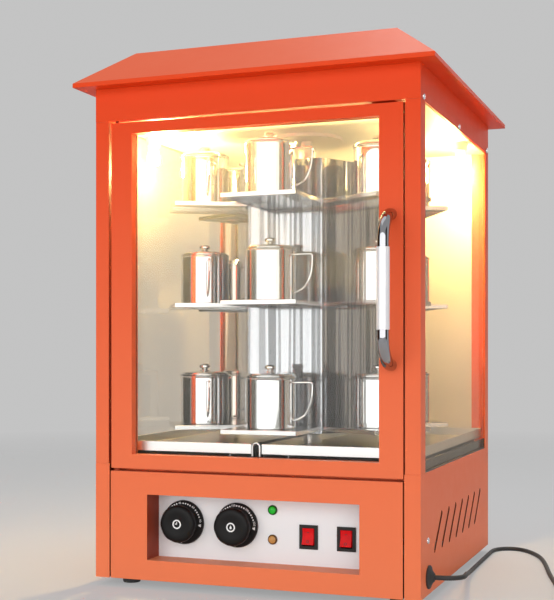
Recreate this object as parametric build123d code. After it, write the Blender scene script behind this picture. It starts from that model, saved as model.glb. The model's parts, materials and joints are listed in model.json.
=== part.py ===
from build123d import *
import math
import os

os.makedirs("parts", exist_ok=True)

# Rotary counter-top roaster. Millimetres, +Z up, front towards -Y, feet on Z = 0.

# Cabinet shell
CABINET_W = 500.0
CABINET_D = 500.0
SHEET = 1.5
FOOT_H = 12.0
FOOT_R = 15.0
FOOT_TIP_R = 13.0
FOOT_INSET = 40.0
BASE_H = 171.0
BASE_CORNER_W = 23.0
FASCIA_GAP = 2.0
WINDOW_H = 513.0
HEADER_H = 49.0
POST_FRONT_W = 22.0
POST_SIDE_W = 28.0
JAMB_DEPTH = 22.0
HEADER_FLANGE = 38.0
FIT_GAP = 0.3
RUNNING_GAP = 0.05

# Roof
EAVE_OVERHANG = 25.5
EAVE_LIP = 6.5
ROOF_RISE = 55.5
ROOF_INSET = 70.0
SOFFIT_W = 40.0

# Glazing
GLASS_T = 4.0
GLASS_LAP = 8.0
FLOOR_UPSTAND = 14.0
CEILING_UPTURN = 20.0
CEILING_SETBACK = 16.0

# Louvres in the base sides
LOUVRE_COUNT = 7
LOUVRE_PITCH = 49.0
LOUVRE_W = 8.0
LOUVRE_RUN = 51.0
LOUVRE_RISE = 52.2
LOUVRE_FROM_FRONT = 82.5
LOUVRE_Z = 53.5

# Casing screws
SCREW_HEAD_R = 4.5
SCREW_HEAD_H = 2.4
SCREW_SHANK_R = 2.0
SCREW_SHANK_L = 8.0
SCREW_HOLE_GAP = 0.1
SCREW_NOTCH_GAP = 1.2
HEADER_SCREW_FROM_CORNER = 16.0
HEADER_SCREW_RISE = 5.0
BASE_SCREW_FROM_FRONT = 41.0
BASE_SCREW_Z = 76.0

# Door
DOOR_DEPTH = 19.5
DOOR_GAP_HINGE = 4.5
DOOR_GAP_LATCH = 2.5
DOOR_GAP_TOP = 3.2
DOOR_GAP_BOTTOM = 4.5
DOOR_STILE = 34.0
DOOR_TOP_RAIL = 16.8
DOOR_BOTTOM_RAIL = 21.0
DOOR_BACK_SHEET = 1.0
DOOR_SEAL_T = 1.0
SILL_DROP = 10.5
SILL_DEPTH = 24.0
PIVOT_FROM_EDGE = 7.0
PIVOT_FROM_FACE = 6.5
PIN_R = 3.0
PIN_HEAD_R = 5.0
PIN_ENGAGE = 14.0
HINGE_BLOCK = 16.0

# Bow handle on the door
HANDLE_R = 9.0
HANDLE_SPAN = 207.0
HANDLE_RISE = 149.5
HANDLE_REACH = 41.0
HANDLE_BEND = 40.0

# Magnetic catch
CATCH_W = 40.0
CATCH_H = 12.0
CATCH_D = 14.0
CATCH_FROM_LATCH_EDGE = 12.0
STRIKE_T = 1.0
STRIKE_TOP_GAP = 1.0
POLE_INSET = 2.0
POLE_W = 1.5
POLE_GAP = 3.0

# Control window and panel
PANEL_X0 = -164.0
PANEL_X1 = 163.0
PANEL_Z0 = 42.0
PANEL_Z1 = 139.0
PANEL_RECESS = 40.0

# Knobs and thermostats
KNOB_X = (-122.0, -35.5)
KNOB_Z = 95.3
KNOB_SKIRT_R = 33.0
KNOB_SKIRT_H = 6.0
KNOB_SKIRT_TAPER = 2.0
KNOB_GRIP_R = 25.0
KNOB_TIP_R = 23.5
KNOB_GRIP_H = 21.0
KNOB_SIDES = 24
KNOB_STANDOFF = 1.0
SPINDLE_R = 3.0
SPINDLE_IN_KNOB = 14.0
SPINDLE_IN_BODY = 14.0
PANEL_SPINDLE_HOLE_R = 5.0
THERMOSTAT_W = 38.0
THERMOSTAT_D = 27.0

# Indicator lamps
INDICATOR_X = 20.0
INDICATOR_Z = (120.0, 77.0)
INDICATOR_BEZEL_R = 7.3
INDICATOR_BEZEL_H = 2.0
INDICATOR_BEZEL_TAPER = 0.7
INDICATOR_LENS_R = 5.6
INDICATOR_LENS_H = 4.5
INDICATOR_BARREL_R = 5.0
INDICATOR_BARREL_L = 22.0

# Rocker switches
SWITCH_X = (75.6, 132.6)
SWITCH_Z = 83.6
SWITCH_BEZEL_W = 25.0
SWITCH_BEZEL_H = 34.0
SWITCH_BEZEL_T = 2.0
SWITCH_BODY_W = 22.0
SWITCH_BODY_H = 30.0
SWITCH_BODY_D = 24.0
SWITCH_WALL = 2.0
SWITCH_POCKET_D = 11.0
ROCKER_SIDE_GAP = 0.5
ROCKER_H = 23.6
ROCKER_CREST = 5.5
ROCKER_WAIST = 3.2
ROCKER_KEEL = 5.0
ROCKER_AXLE_R = 2.0
ROCKER_AXLE_BITE = 1.2
ROCKER_AXLE_DEPTH = 3.0
ROCKER_TILT = 9.0

# Carousel
SHAFT_R = 7.5
DRUM_SHEET = 1.2
DRUM_RISE = 42.0
DRUM_HEADROOM = 49.5
DRUM_HUB_R = 15.0
DRUM_HUB_H = 5.0
HUB_END_GAP = 0.5
COLUMNS = 6
TRAY_LOWER_RISE = 53.0
TRAY_UPPER_HEADROOM = 112.5
TRAY_MIDDLE_SHARE = 0.546
TRAY_SIDE_GAP = 3.2
CAROUSEL_GAP = 2.7
TRAY_SHEET = 1.2
TRAY_LIP = 6.4
TRAY_HEEL = 9.0
TRAY_RIB_X = 34.0
TRAY_TAB_W = 12.0
TRAY_TAB_REACH = 6.0
TRAY_TAB_DROP = 7.0
TAB_SLOT_GAP = 0.25
MUG_FROM_LIP = 14.5
MUG_FROM_DRUM = 23.5
MUG_R = 38.5
MUG_H = 77.0
MUG_WALL = 1.0
MUG_HANDLE_OUT = 29.5
MUG_HANDLE_TOP = 69.0
MUG_HANDLE_KNEE = 27.0
MUG_HANDLE_FOOT = 11.0
MUG_WIRE_R = 2.4
MUG_HANDLE_BEND = 8.0
MUG_HANDLE_KNEE_BEND = 14.0
MUG_WIRE_SIDES = 6
LID_R = 39.8
LID_RIM_T = 1.4
LID_RISE = 6.0
LID_NECK_R = 3.0
LID_KNOB_R = 6.0
LID_KNOB_H = 11.0
LID_SHEET = 0.8

# Bearings and drive under the chamber
BEARING_FLANGE_R = 35.0
BEARING_FLANGE_T = 4.0
BEARING_HUB_R = 18.0
CEILING_DISC_R = 59.0
CEILING_DISC_T = 5.0
CEILING_HUB_R = 9.5
CEILING_HUB_H = 10.0
SHAFT_END_GAP = 1.0
MOTOR_DROP = 33.0
GEARBOX_R = 30.0
GEARBOX_H = 30.0
MOTOR_R = 25.0
MOTOR_H = 22.0
MOTOR_SHAFT_R = 4.0
MOTOR_SHAFT_DEPTH = 20.0
COUPLING_R = 12.0
COUPLING_GAP = 1.0
COUPLING_LOWER_BITE = 11.0
COUPLING_UPPER_BITE = 15.0
BRACKET_HALF_W = 60.0
BRACKET_D = 60.0
BRACKET_FOOT = 18.0
BRACKET_HOLE_R = 14.0

# Heating elements, rails and drip pans
HEATER_R = 4.0
HEATER_SIDES = 8
HEATER_RISE = 8.5
HEATER_INNER_X = 85.0
HEATER_FROM_GLASS = 49.5
HEATER_FROM_FRONT = 70.0
HEATER_FROM_REAR = 60.0
HEATER_BEND = 45.0
HEATER_LEG_BEND = 12.0
HEATER_LEG_DROP = 22.0
HEATER_HOLE_R = 6.0
CLIP_W = 16.0
CLIP_L = 10.0
CLIP_FROM_BENDS = (25.0, 60.0)
PAN_RISE = 17.5
PAN_H = 14.5
PAN_SHEET = 1.0
PAN_GAP = 16.0
PAN_SIDE_GAP = 3.0
PAN_FRONT_SETBACK = 2.0
PAN_FROM_REAR = 10.0
PAN_NOTCH_R = 24.0
RAIL_INNER_X = 45.0
RAIL_FROM_GLASS = 16.5
RAIL_W = 9.0
RAIL_FROM_SILL = 12.0
RAIL_FROM_REAR = 18.0
ARCH_W = 13.0
ARCH_H = 30.0
ARCH_D = 9.0
ARCH_T = 1.2

# Lamps
LAMP_FROM_GLASS = 16.5
LAMP_Y = {"left": -100.0, "right": 120.0}
LAMP_HOLDER_R = 13.0
LAMP_HOLDER_H = 14.0
LAMP_STUD_R = 5.0
LAMP_STUD_H = 9.0
LAMP_NECK_R = 6.0
LAMP_NECK_L = 3.0
LAMP_R = 10.5
LAMP_H = 30.0

# Terminal block
TERMINAL_FROM_SIDE = 100.0
TERMINAL_Y = 60.0
TERMINAL_L = 62.0
TERMINAL_W = 20.0
TERMINAL_H = 18.0
TERMINAL_WAYS = 6

# Mains lead
GLAND_FROM_FRONT = 46.0
GLAND_Z = 36.6
GLAND_FLANGE_R = 16.5
GLAND_FLANGE_T = 3.0
GLAND_STEP = 1.0
GLAND_SHOULDER_R = 12.0
GLAND_TIP_R = 5.5
GLAND_PROUD = 9.0
GLAND_NECK_R = 8.0
GLAND_INSIDE = 10.0
GLAND_NUT_R = 13.0
CORD_D = 7.0
CORD_SIDES = 8
CORD_ROUTE = (
    (273.0, -204.0, 36.6),
    (287.5, -196.2, 36.3),
    (295.5, -181.5, 35.7),
    (292.6, -156.0, 33.8),
    (286.2, -118.0, 28.2),
    (277.5, -72.0, 19.6),
    (269.8, -24.0, 11.2),
    (264.2, 30.0, 5.9),
    (261.5, 92.0, 4.0),
    (260.5, 158.0, 3.6),
    (260.6, 205.0, 3.6),
    (261.3, 237.7, 3.6),
    (268.3, 251.4, 3.6),
    (280.7, 260.4, 3.6),
    (295.9, 262.8, 3.6),
    (310.5, 258.1, 3.6),
    (324.6, 244.0, 3.6),
    (337.8, 222.8, 3.6),
    (348.7, 195.9, 3.6),
    (358.3, 162.3, 3.6),
    (368.2, 119.4, 3.6),
    (377.4, 74.0, 3.6),
    (387.6, 30.0, 3.6),
    (397.8, -10.0, 3.7),
    (405.4, -43.0, 4.2),
    (411.5, -68.0, 4.8),
)
COIL_X = 462.0
COIL_Y = -95.0
COIL_R = 46.0
COIL_PITCH = 7.8
COIL_TURNS_PER_LAYER = 2
TIE_T = 1.2
TIE_W = 7.0
TIE_SIDE_GAP = 1.2
PLUG_W = 40.0
PLUG_L = 36.0
PLUG_RELIEF_L = 40.0
PLUG_RELIEF_R = 7.0
PLUG_RELIEF_WALL = 0.2
PLUG_PIN_L = 18.0
PLUG_PIN_W = 6.3
PLUG_PIN_T = 1.6
PLUG_PIN_ORBIT = 7.9

# Cutters run past the faces that they open
CUT_OVER = 1.0

# Working planes
HALF_W = CABINET_W / 2
HALF_D = CABINET_D / 2
INNER_W = HALF_W - SHEET
INNER_D = HALF_D - SHEET
FRONT = -HALF_D
OPENING_W = HALF_W - POST_FRONT_W
Z_DECK = FOOT_H + BASE_H
Z_FLOOR = Z_DECK + SHEET
Z_SILL = Z_DECK - SILL_DROP
Z_HEAD = Z_DECK + WINDOW_H
Z_CEILING = Z_HEAD + SHEET
Z_SOFFIT = Z_HEAD + HEADER_H
SILL_BACK = FRONT + SILL_DEPTH
GLASS_IN = INNER_W - GLASS_T
PANEL_FACE = FRONT + PANEL_RECESS
PANEL_BACK = PANEL_FACE + SHEET
DOOR_X0 = -OPENING_W + DOOR_GAP_HINGE
DOOR_X1 = OPENING_W - DOOR_GAP_LATCH
DOOR_Z0 = Z_SILL + DOOR_GAP_BOTTOM
DOOR_Z1 = Z_HEAD - DOOR_GAP_TOP
DOOR_BACK = FRONT + DOOR_DEPTH
VIEW_X0 = DOOR_X0 + DOOR_STILE
VIEW_X1 = DOOR_X1 - DOOR_STILE
VIEW_Z0 = DOOR_Z0 + DOOR_BOTTOM_RAIL
VIEW_Z1 = DOOR_Z1 - DOOR_TOP_RAIL
PIVOT_X = DOOR_X0 + PIVOT_FROM_EDGE
PIVOT_Y = FRONT + PIVOT_FROM_FACE
HANDLE_X = DOOR_X1 - DOOR_STILE / 2
HANDLE_LINE = FRONT - HANDLE_REACH
HANDLE_BOTTOM_Z = Z_DECK + HANDLE_RISE
BASE_CORNER_X = HALF_W - BASE_CORNER_W
FASCIA_HALF = BASE_CORNER_X - FASCIA_GAP
LOUVRE_FIRST_Y = FRONT + LOUVRE_FROM_FRONT
HEADER_SCREW_Y = HALF_D - HEADER_SCREW_FROM_CORNER
BASE_SCREW_Y = FRONT + BASE_SCREW_FROM_FRONT
LAMP_X = GLASS_IN - LAMP_FROM_GLASS
HEATER_OUTER_X = GLASS_IN - HEATER_FROM_GLASS
HEATER_FRONT_Y = FRONT + HEATER_FROM_FRONT
HEATER_REAR_Y = HALF_D - HEATER_FROM_REAR
RAIL_X = (RAIL_INNER_X, GLASS_IN - RAIL_FROM_GLASS)
RAIL_FRONT_Y = SILL_BACK + RAIL_FROM_SILL
RAIL_REAR_Y = HALF_D - RAIL_FROM_REAR
PAN_REAR_Y = HALF_D - PAN_FROM_REAR
CLIP_Y = (HEATER_FRONT_Y + HEATER_BEND + CLIP_FROM_BENDS[0], HEATER_REAR_Y - CLIP_FROM_BENDS[1])
TERMINAL_X = HALF_W - TERMINAL_FROM_SIDE
GLAND_Y = FRONT + GLAND_FROM_FRONT
DRUM_Z0 = Z_DECK + DRUM_RISE
DRUM_Z1 = Z_CEILING - DRUM_HEADROOM
Z_BEARING = DRUM_Z0 - DRUM_HUB_H
Z_CEILING_HUB = Z_CEILING - CEILING_DISC_T - CEILING_HUB_H
Z_BRACKET = Z_DECK - MOTOR_DROP
Z_PAN = Z_FLOOR + PAN_RISE
Z_COIL = TIE_T + FIT_GAP + CORD_D / 2
Z_COIL_TOP = Z_COIL + COIL_PITCH

# The drum is as large as lets the tray corners clear the door and the side glasses as they turn
TRAY_SWEEP = min(GLASS_IN, -DOOR_BACK) - CAROUSEL_GAP
TRAY_DEPTH = MUG_FROM_LIP + 2 * MUG_R + MUG_FROM_DRUM
DRUM_SLOPE = math.tan(math.pi / COLUMNS)
SWEEP_A = 1 + DRUM_SLOPE**2
SWEEP_B = 2 * TRAY_DEPTH - DRUM_SLOPE * TRAY_SIDE_GAP
SWEEP_C = TRAY_DEPTH**2 + TRAY_SIDE_GAP**2 / 4 - TRAY_SWEEP**2
DRUM_APOTHEM = (math.sqrt(SWEEP_B**2 - 4 * SWEEP_A * SWEEP_C) - SWEEP_B) / (2 * SWEEP_A)
TRAY_W = 2 * DRUM_APOTHEM * DRUM_SLOPE - TRAY_SIDE_GAP
TRAY_REACH = DRUM_APOTHEM + TRAY_DEPTH
MUG_ORBIT = TRAY_REACH - MUG_FROM_LIP - MUG_R

# Tray levels share the height of the chamber
TRAY_LOWER = Z_DECK + TRAY_LOWER_RISE
TRAY_UPPER = Z_CEILING - TRAY_UPPER_HEADROOM
TRAY_MIDDLE = TRAY_LOWER + TRAY_MIDDLE_SHARE * (TRAY_UPPER - TRAY_LOWER)
TRAY_TOPS = {"lower": TRAY_LOWER, "middle": TRAY_MIDDLE, "upper": TRAY_UPPER}

# The origin stands under the middle of the overall box, which the handle makes deeper in front
EAVE_HALF_W = HALF_W + EAVE_OVERHANG
EAVE_HALF_D = HALF_D + EAVE_OVERHANG
SHIFT_Y = (HANDLE_REACH + HANDLE_R - EAVE_OVERHANG) / 2


def block(x0, x1, y0, y1, z0, z1):
    """Box between two corners."""
    size = Box(abs(x1 - x0), abs(y1 - y0), abs(z1 - z0))
    return Pos((x0 + x1) / 2, (y0 + y1) / 2, (z0 + z1) / 2) * size


def post(x, y, z0, z1, radius):
    """Upright round bar."""
    return Pos(x, y, (z0 + z1) / 2) * Cylinder(radius, z1 - z0)


def spun(outline):
    """Solid of revolution about Z from (radius, height) corners."""
    return revolve(make_face(Polyline(*[(r, 0, z) for r, z in outline], close=True)), Axis.Z)


def facing_front(x, y, z):
    """Place whose local Z points out of the front of the cabinet."""
    return Pos(x, y, z) * Rot(90, 0, 0)


def save(name, *pieces):
    """Write one node, moved so that the origin is under the middle of the box."""
    solids = [s for piece in pieces for s in piece.solids()]
    placed = [Pos(0, SHIFT_Y, 0) * s for s in solids]
    shape = placed[0] if len(placed) == 1 else Compound(placed)
    export_step(shape, os.path.join("parts", name + ".step"))


# Base box
def base_plate():
    plate = block(-INNER_W, INNER_W, -INNER_D, INNER_D, FOOT_H, FOOT_H + SHEET)
    return plate


def feet():
    at = [(x, y) for x in (-1, 1) for y in (-1, 1)]
    foot = spun([(0, 0), (FOOT_TIP_R, 0), (FOOT_R, FOOT_H), (0, FOOT_H)])
    return [Pos(x * (HALF_W - FOOT_INSET), y * (HALF_D - FOOT_INSET), 0) * foot for x, y in at]


def louvre_slots(side):
    """Slanted slots through one base side."""
    length = math.hypot(LOUVRE_RUN, LOUVRE_RISE)
    lean = math.degrees(math.atan2(LOUVRE_RUN, LOUVRE_RISE))
    cutter = Box(4 * SHEET, LOUVRE_W, length)
    cutter = chamfer(cutter.edges().filter_by(Axis.X), LOUVRE_W * 0.3)
    middle_z = FOOT_H + LOUVRE_Z + LOUVRE_RISE / 2
    slots = []
    for i in range(LOUVRE_COUNT):
        middle_y = LOUVRE_FIRST_Y + i * LOUVRE_PITCH + LOUVRE_RUN / 2
        slots.append(Pos(side * HALF_W, middle_y, middle_z) * Rot(-lean, 0, 0) * cutter)
    return slots


def screw_places(side):
    """Heads on one side of the cabinet: three in the header, one low on the base."""
    header_z = Z_HEAD + HEADER_SCREW_RISE
    rows = [(y, header_z) for y in (-HEADER_SCREW_Y, 0, HEADER_SCREW_Y)]
    rows.append((BASE_SCREW_Y, FOOT_H + BASE_SCREW_Z))
    return [Pos(side * HALF_W, y, z) * Rot(0, side * 90, 0) for y, z in rows]


def screw_holes(side):
    hole = Cylinder(SCREW_SHANK_R + SCREW_HOLE_GAP, 4 * SHEET)
    return [place * hole for place in screw_places(side)]


def casing_screws():
    outline = [
        (0, -SCREW_SHANK_L),
        (SCREW_SHANK_R, -SCREW_SHANK_L),
        (SCREW_SHANK_R, 0),
        (SCREW_HEAD_R, 0),
        (SCREW_HEAD_R * 0.6, SCREW_HEAD_H),
        (0, SCREW_HEAD_H),
    ]
    screw = spun(outline)
    return [place * screw for side in (-1, 1) for place in screw_places(side)]


def gland_hole():
    place = Pos(HALF_W, GLAND_Y, GLAND_Z) * Rot(0, 90, 0)
    return place * Cylinder(GLAND_NECK_R + SCREW_HOLE_GAP, 4 * SHEET)


def base_side(side):
    """Louvred side sheet, folded round the front corner."""
    panel = block(side * INNER_W, side * HALF_W, -HALF_D, HALF_D, FOOT_H, Z_DECK)
    panel += block(side * BASE_CORNER_X, side * HALF_W, FRONT, FRONT + SHEET, FOOT_H, Z_DECK)
    panel -= louvre_slots(side)
    panel -= screw_holes(side)
    if side > 0:
        panel -= gland_hole()
    return panel


def base_rear_panel():
    return block(-INNER_W, INNER_W, INNER_D, HALF_D, FOOT_H, Z_DECK)


def base_fascia():
    """Front sheet with the sill under the door, its upstand and the sleeve of the control window."""
    half = FASCIA_HALF
    sheet = block(-half, half, FRONT, FRONT + SHEET, FOOT_H, Z_SILL)
    sheet += block(-half, half, FRONT, SILL_BACK, Z_SILL - SHEET, Z_SILL)
    sheet += block(-half, half, SILL_BACK - SHEET, SILL_BACK, Z_SILL, Z_DECK)
    sheet += block(
        PANEL_X0 - SHEET, PANEL_X1 + SHEET, FRONT, PANEL_FACE, PANEL_Z0 - SHEET, PANEL_Z1 + SHEET
    )
    sheet -= block(PANEL_X0, PANEL_X1, FRONT - SHEET, PANEL_FACE + SHEET, PANEL_Z0, PANEL_Z1)
    sheet -= post(PIVOT_X, PIVOT_Y, Z_SILL - 2 * SHEET, Z_SILL + SHEET, PIN_R)
    return sheet


# Upper cabinet
def corner_posts():
    posts = []
    for side in (-1, 1):
        front = block(side * INNER_W, side * HALF_W, FRONT, FRONT + POST_SIDE_W, Z_DECK, Z_HEAD)
        front += block(side * OPENING_W, side * HALF_W, FRONT, FRONT + SHEET, Z_DECK, Z_HEAD)
        jamb_x = side * (OPENING_W + SHEET)
        front += block(side * OPENING_W, jamb_x, FRONT, FRONT + JAMB_DEPTH, Z_DECK, Z_HEAD)
        rear = block(side * INNER_W, side * HALF_W, HALF_D - POST_SIDE_W, HALF_D, Z_DECK, Z_HEAD)
        rear_x = side * (HALF_W - POST_SIDE_W)
        rear += block(rear_x, side * HALF_W, INNER_D, HALF_D, Z_DECK, Z_HEAD)
        posts += [front, rear]
    return posts


def front_header():
    flange_w = GLASS_IN - FIT_GAP
    sheet = block(-INNER_W, INNER_W, FRONT, FRONT + SHEET, Z_HEAD, Z_SOFFIT)
    sheet += block(-flange_w, flange_w, FRONT, FRONT + HEADER_FLANGE, Z_HEAD, Z_CEILING)
    sheet -= post(PIVOT_X, PIVOT_Y, Z_HEAD - SHEET, Z_CEILING + SHEET, PIN_R)
    return sheet


def side_header(side):
    sheet = block(side * INNER_W, side * HALF_W, -HALF_D, HALF_D, Z_HEAD, Z_SOFFIT)
    return sheet - screw_holes(side)


def rear_header():
    return block(-INNER_W, INNER_W, INNER_D, HALF_D, Z_HEAD, Z_SOFFIT)


def side_glass(side):
    reach = HALF_D - POST_SIDE_W + GLASS_LAP
    pane = block(side * GLASS_IN, side * INNER_W, -reach, reach, Z_FLOOR, Z_HEAD + GLASS_LAP)
    notch = SCREW_SHANK_R + SCREW_NOTCH_GAP
    notch_z = Z_HEAD + HEADER_SCREW_RISE - notch
    pane -= block(
        side * (GLASS_IN - CUT_OVER), side * (INNER_W + CUT_OVER), -notch, notch,
        notch_z, Z_HEAD + GLASS_LAP + CUT_OVER,
    )
    return pane


def rear_panel():
    return block(-INNER_W, INNER_W, INNER_D - SHEET, INNER_D, Z_FLOOR, Z_CEILING)


def ceiling_plate():
    edge = GLASS_IN - FIT_GAP
    y0 = FRONT + CEILING_SETBACK
    top = Z_CEILING + SHEET
    sheet = block(-edge, edge, y0, INNER_D, Z_CEILING, top)
    for side in (-1, 1):
        inner = side * (edge - SHEET)
        sheet += block(inner, side * edge, y0, INNER_D, top, top + CEILING_UPTURN)
        for y in (-HEADER_SCREW_Y, 0, HEADER_SCREW_Y):
            thread = Cylinder(SCREW_SHANK_R + RUNNING_GAP, 4 * SHEET)
            sheet -= Pos(side * edge, y, Z_HEAD + HEADER_SCREW_RISE) * Rot(0, 90, 0) * thread
    for side, name in ((-1, "left"), (1, "right")):
        sheet -= post(side * LAMP_X, LAMP_Y[name], Z_CEILING - SHEET, top + SHEET, LAMP_STUD_R)
    return sheet


def hip_solid(half_w, half_d, inset, z0, z1):
    """Truncated pyramid on a rectangle."""
    low = Plane.XY.offset(z0) * Rectangle(2 * half_w, 2 * half_d)
    high = Plane.XY.offset(z1) * Rectangle(2 * (half_w - inset), 2 * (half_d - inset))
    return loft([low, high])


def roof():
    """Folded hip roof with a lip at the eaves and a soffit that sits on the headers."""
    z_lip = Z_SOFFIT + EAVE_LIP
    z_top = z_lip + ROOF_RISE
    slope = math.atan2(ROOF_RISE, ROOF_INSET)
    skin = SHEET / math.sin(slope)
    outer = block(-EAVE_HALF_W, EAVE_HALF_W, -EAVE_HALF_D, EAVE_HALF_D, Z_SOFFIT, z_lip)
    outer += hip_solid(EAVE_HALF_W, EAVE_HALF_D, ROOF_INSET, z_lip, z_top)
    in_w = EAVE_HALF_W - skin
    in_d = EAVE_HALF_D - skin
    in_inset = ROOF_INSET * (ROOF_RISE - SHEET) / ROOF_RISE
    outer -= block(-in_w, in_w, -in_d, in_d, Z_SOFFIT + SHEET, z_lip)
    outer -= hip_solid(in_w, in_d, in_inset, z_lip, z_top - SHEET)
    hole_w = EAVE_HALF_W - EAVE_OVERHANG - SOFFIT_W
    hole_d = EAVE_HALF_D - EAVE_OVERHANG - SOFFIT_W
    outer -= block(-hole_w, hole_w, -hole_d, hole_d, Z_SOFFIT - SHEET, Z_SOFFIT + 2 * SHEET)
    return outer


def lamp_place(side):
    name = "left" if side < 0 else "right"
    return Pos(side * LAMP_X, LAMP_Y[name], Z_CEILING)


def lamp_holder():
    outline = [
        (0, -LAMP_HOLDER_H),
        (LAMP_HOLDER_R * 0.8, -LAMP_HOLDER_H),
        (LAMP_HOLDER_R, 0),
        (LAMP_STUD_R, 0),
        (LAMP_STUD_R, LAMP_STUD_H),
        (0, LAMP_STUD_H),
    ]
    return spun(outline)


def lamp():
    seat = -LAMP_HOLDER_H
    shoulder = seat - LAMP_NECK_L
    belly = shoulder - LAMP_H * 0.4
    outline = [
        (0, seat),
        (LAMP_NECK_R, seat),
        (LAMP_NECK_R, shoulder),
        (LAMP_R, belly),
        (LAMP_R * 0.8, belly - LAMP_H * 0.3),
        (0, shoulder - LAMP_H),
    ]
    return spun(outline)


# Chamber bottom
def heater_legs(side):
    xs = (HEATER_INNER_X, HEATER_OUTER_X)
    return [(side * x, HEATER_REAR_Y) for x in xs]


def chamber_floor():
    sheet = block(-INNER_W, INNER_W, SILL_BACK - SHEET, INNER_D, Z_DECK, Z_FLOOR)
    edge = GLASS_IN - FIT_GAP
    for side in (-1, 1):
        inner = side * (edge - SHEET)
        sheet += block(
            inner, side * edge, SILL_BACK, INNER_D - SHEET, Z_FLOOR, Z_FLOOR + FLOOR_UPSTAND
        )
        for x, y in heater_legs(side):
            sheet -= post(x, y, Z_DECK - SHEET, Z_FLOOR + SHEET, HEATER_HOLE_R)
    sheet -= post(0, 0, Z_DECK - SHEET, Z_FLOOR + SHEET, SHAFT_R + SHEET)
    return sheet


def heater(side):
    """Hairpin element with both legs turned down through the floor."""
    z = Z_FLOOR + HEATER_RISE
    z_leg = Z_FLOOR - HEATER_LEG_DROP
    x0, x1 = side * HEATER_INNER_X, side * HEATER_OUTER_X
    corners = [
        (x0, HEATER_REAR_Y, z_leg),
        (x0, HEATER_REAR_Y, z),
        (x0, HEATER_FRONT_Y, z),
        (x1, HEATER_FRONT_Y, z),
        (x1, HEATER_REAR_Y, z),
        (x1, HEATER_REAR_Y, z_leg),
    ]
    radii = [HEATER_LEG_BEND, HEATER_BEND, HEATER_BEND, HEATER_LEG_BEND]
    path = FilletPolyline(*corners, radius=radii)
    section = Plane(origin=corners[0], z_dir=(0, 0, 1)) * RegularPolygon(HEATER_R, HEATER_SIDES)
    return sweep(section, path=path)


def heater_clips(side):
    """Saddles that hold the straight legs of one element off the floor."""
    z = Z_FLOOR + HEATER_RISE
    clips = []
    for x in (side * HEATER_INNER_X, side * HEATER_OUTER_X):
        for y in CLIP_Y:
            saddle = block(x - CLIP_W / 2, x + CLIP_W / 2, y, y + CLIP_L, Z_FLOOR, z)
            groove = Pos(x, y + CLIP_L / 2, z) * Rot(90, 0, 0)
            clips.append(saddle - groove * Cylinder(HEATER_R + RUNNING_GAP, 2 * CLIP_L))
    return clips


def pan_rails():
    """Folded Z rails that carry the drip pans."""
    rails = []
    for side in (-1, 1):
        for x in RAIL_X:
            x0 = side * x
            web_x = side * (x + SHEET)
            foot_x = side * (x + RAIL_W)
            ledge_x = side * (x - RAIL_W)
            foot = block(x0, foot_x, RAIL_FRONT_Y, RAIL_REAR_Y, Z_FLOOR, Z_FLOOR + SHEET)
            web = block(x0, web_x, RAIL_FRONT_Y, RAIL_REAR_Y, Z_FLOOR, Z_PAN)
            ledge = block(ledge_x, web_x, RAIL_FRONT_Y, RAIL_REAR_Y, Z_PAN - SHEET, Z_PAN)
            rails.append(foot + web + ledge)
    return rails


def drip_pan(side):
    """Shallow pan with a half-round bay round the carousel bearing."""
    x0 = side * PAN_GAP / 2
    x1 = side * (GLASS_IN - FIT_GAP - SHEET - PAN_SIDE_GAP)
    y0 = SILL_BACK + PAN_FRONT_SETBACK
    top = Z_PAN + PAN_H
    t = PAN_SHEET
    pan = block(x0, x1, y0, PAN_REAR_Y, Z_PAN, top)
    pan -= post(0, 0, Z_PAN - t, top + t, PAN_NOTCH_R)
    inside = block(x0 + side * t, x1 - side * t, y0 + t, PAN_REAR_Y - t, Z_PAN + t, top + t)
    inside -= post(0, 0, Z_PAN - t, top + 2 * t, PAN_NOTCH_R + t)
    return pan - inside


def pan_clip():
    """Sprung arch between the fronts of the two pans."""
    y0 = SILL_BACK + PAN_FRONT_SETBACK
    half = ARCH_W / 2
    crown = ARCH_H - half
    outer = block(-half, half, y0, y0 + ARCH_D, Z_FLOOR, Z_FLOOR + crown)
    place = Pos(0, y0 + ARCH_D / 2, Z_FLOOR + crown) * Rot(90, 0, 0)
    outer += place * Cylinder(half, ARCH_D)
    inner = half - ARCH_T
    outer -= block(
        -inner, inner, y0 - CUT_OVER, y0 + ARCH_D + CUT_OVER, Z_FLOOR - CUT_OVER, Z_FLOOR + crown
    )
    outer -= place * Cylinder(inner, 2 * ARCH_D)
    return outer


# Door
def ring(x0, x1, y0, y1, z0, z1, hole):
    """Flat frame round the view of the door, hole is the lap of its inner edge."""
    frame = block(x0, x1, y0, y1, z0, z1)
    return frame - block(
        VIEW_X0 - hole, VIEW_X1 + hole, y0 - CUT_OVER, y1 + CUT_OVER, VIEW_Z0 - hole, VIEW_Z1 + hole
    )


def hinge_block(z0, z1):
    y0 = FRONT + SHEET
    x0 = DOOR_X0 + SHEET
    return block(x0, x0 + HINGE_BLOCK, y0, y0 + 2 * PIVOT_FROM_FACE, z0, z1)


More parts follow.
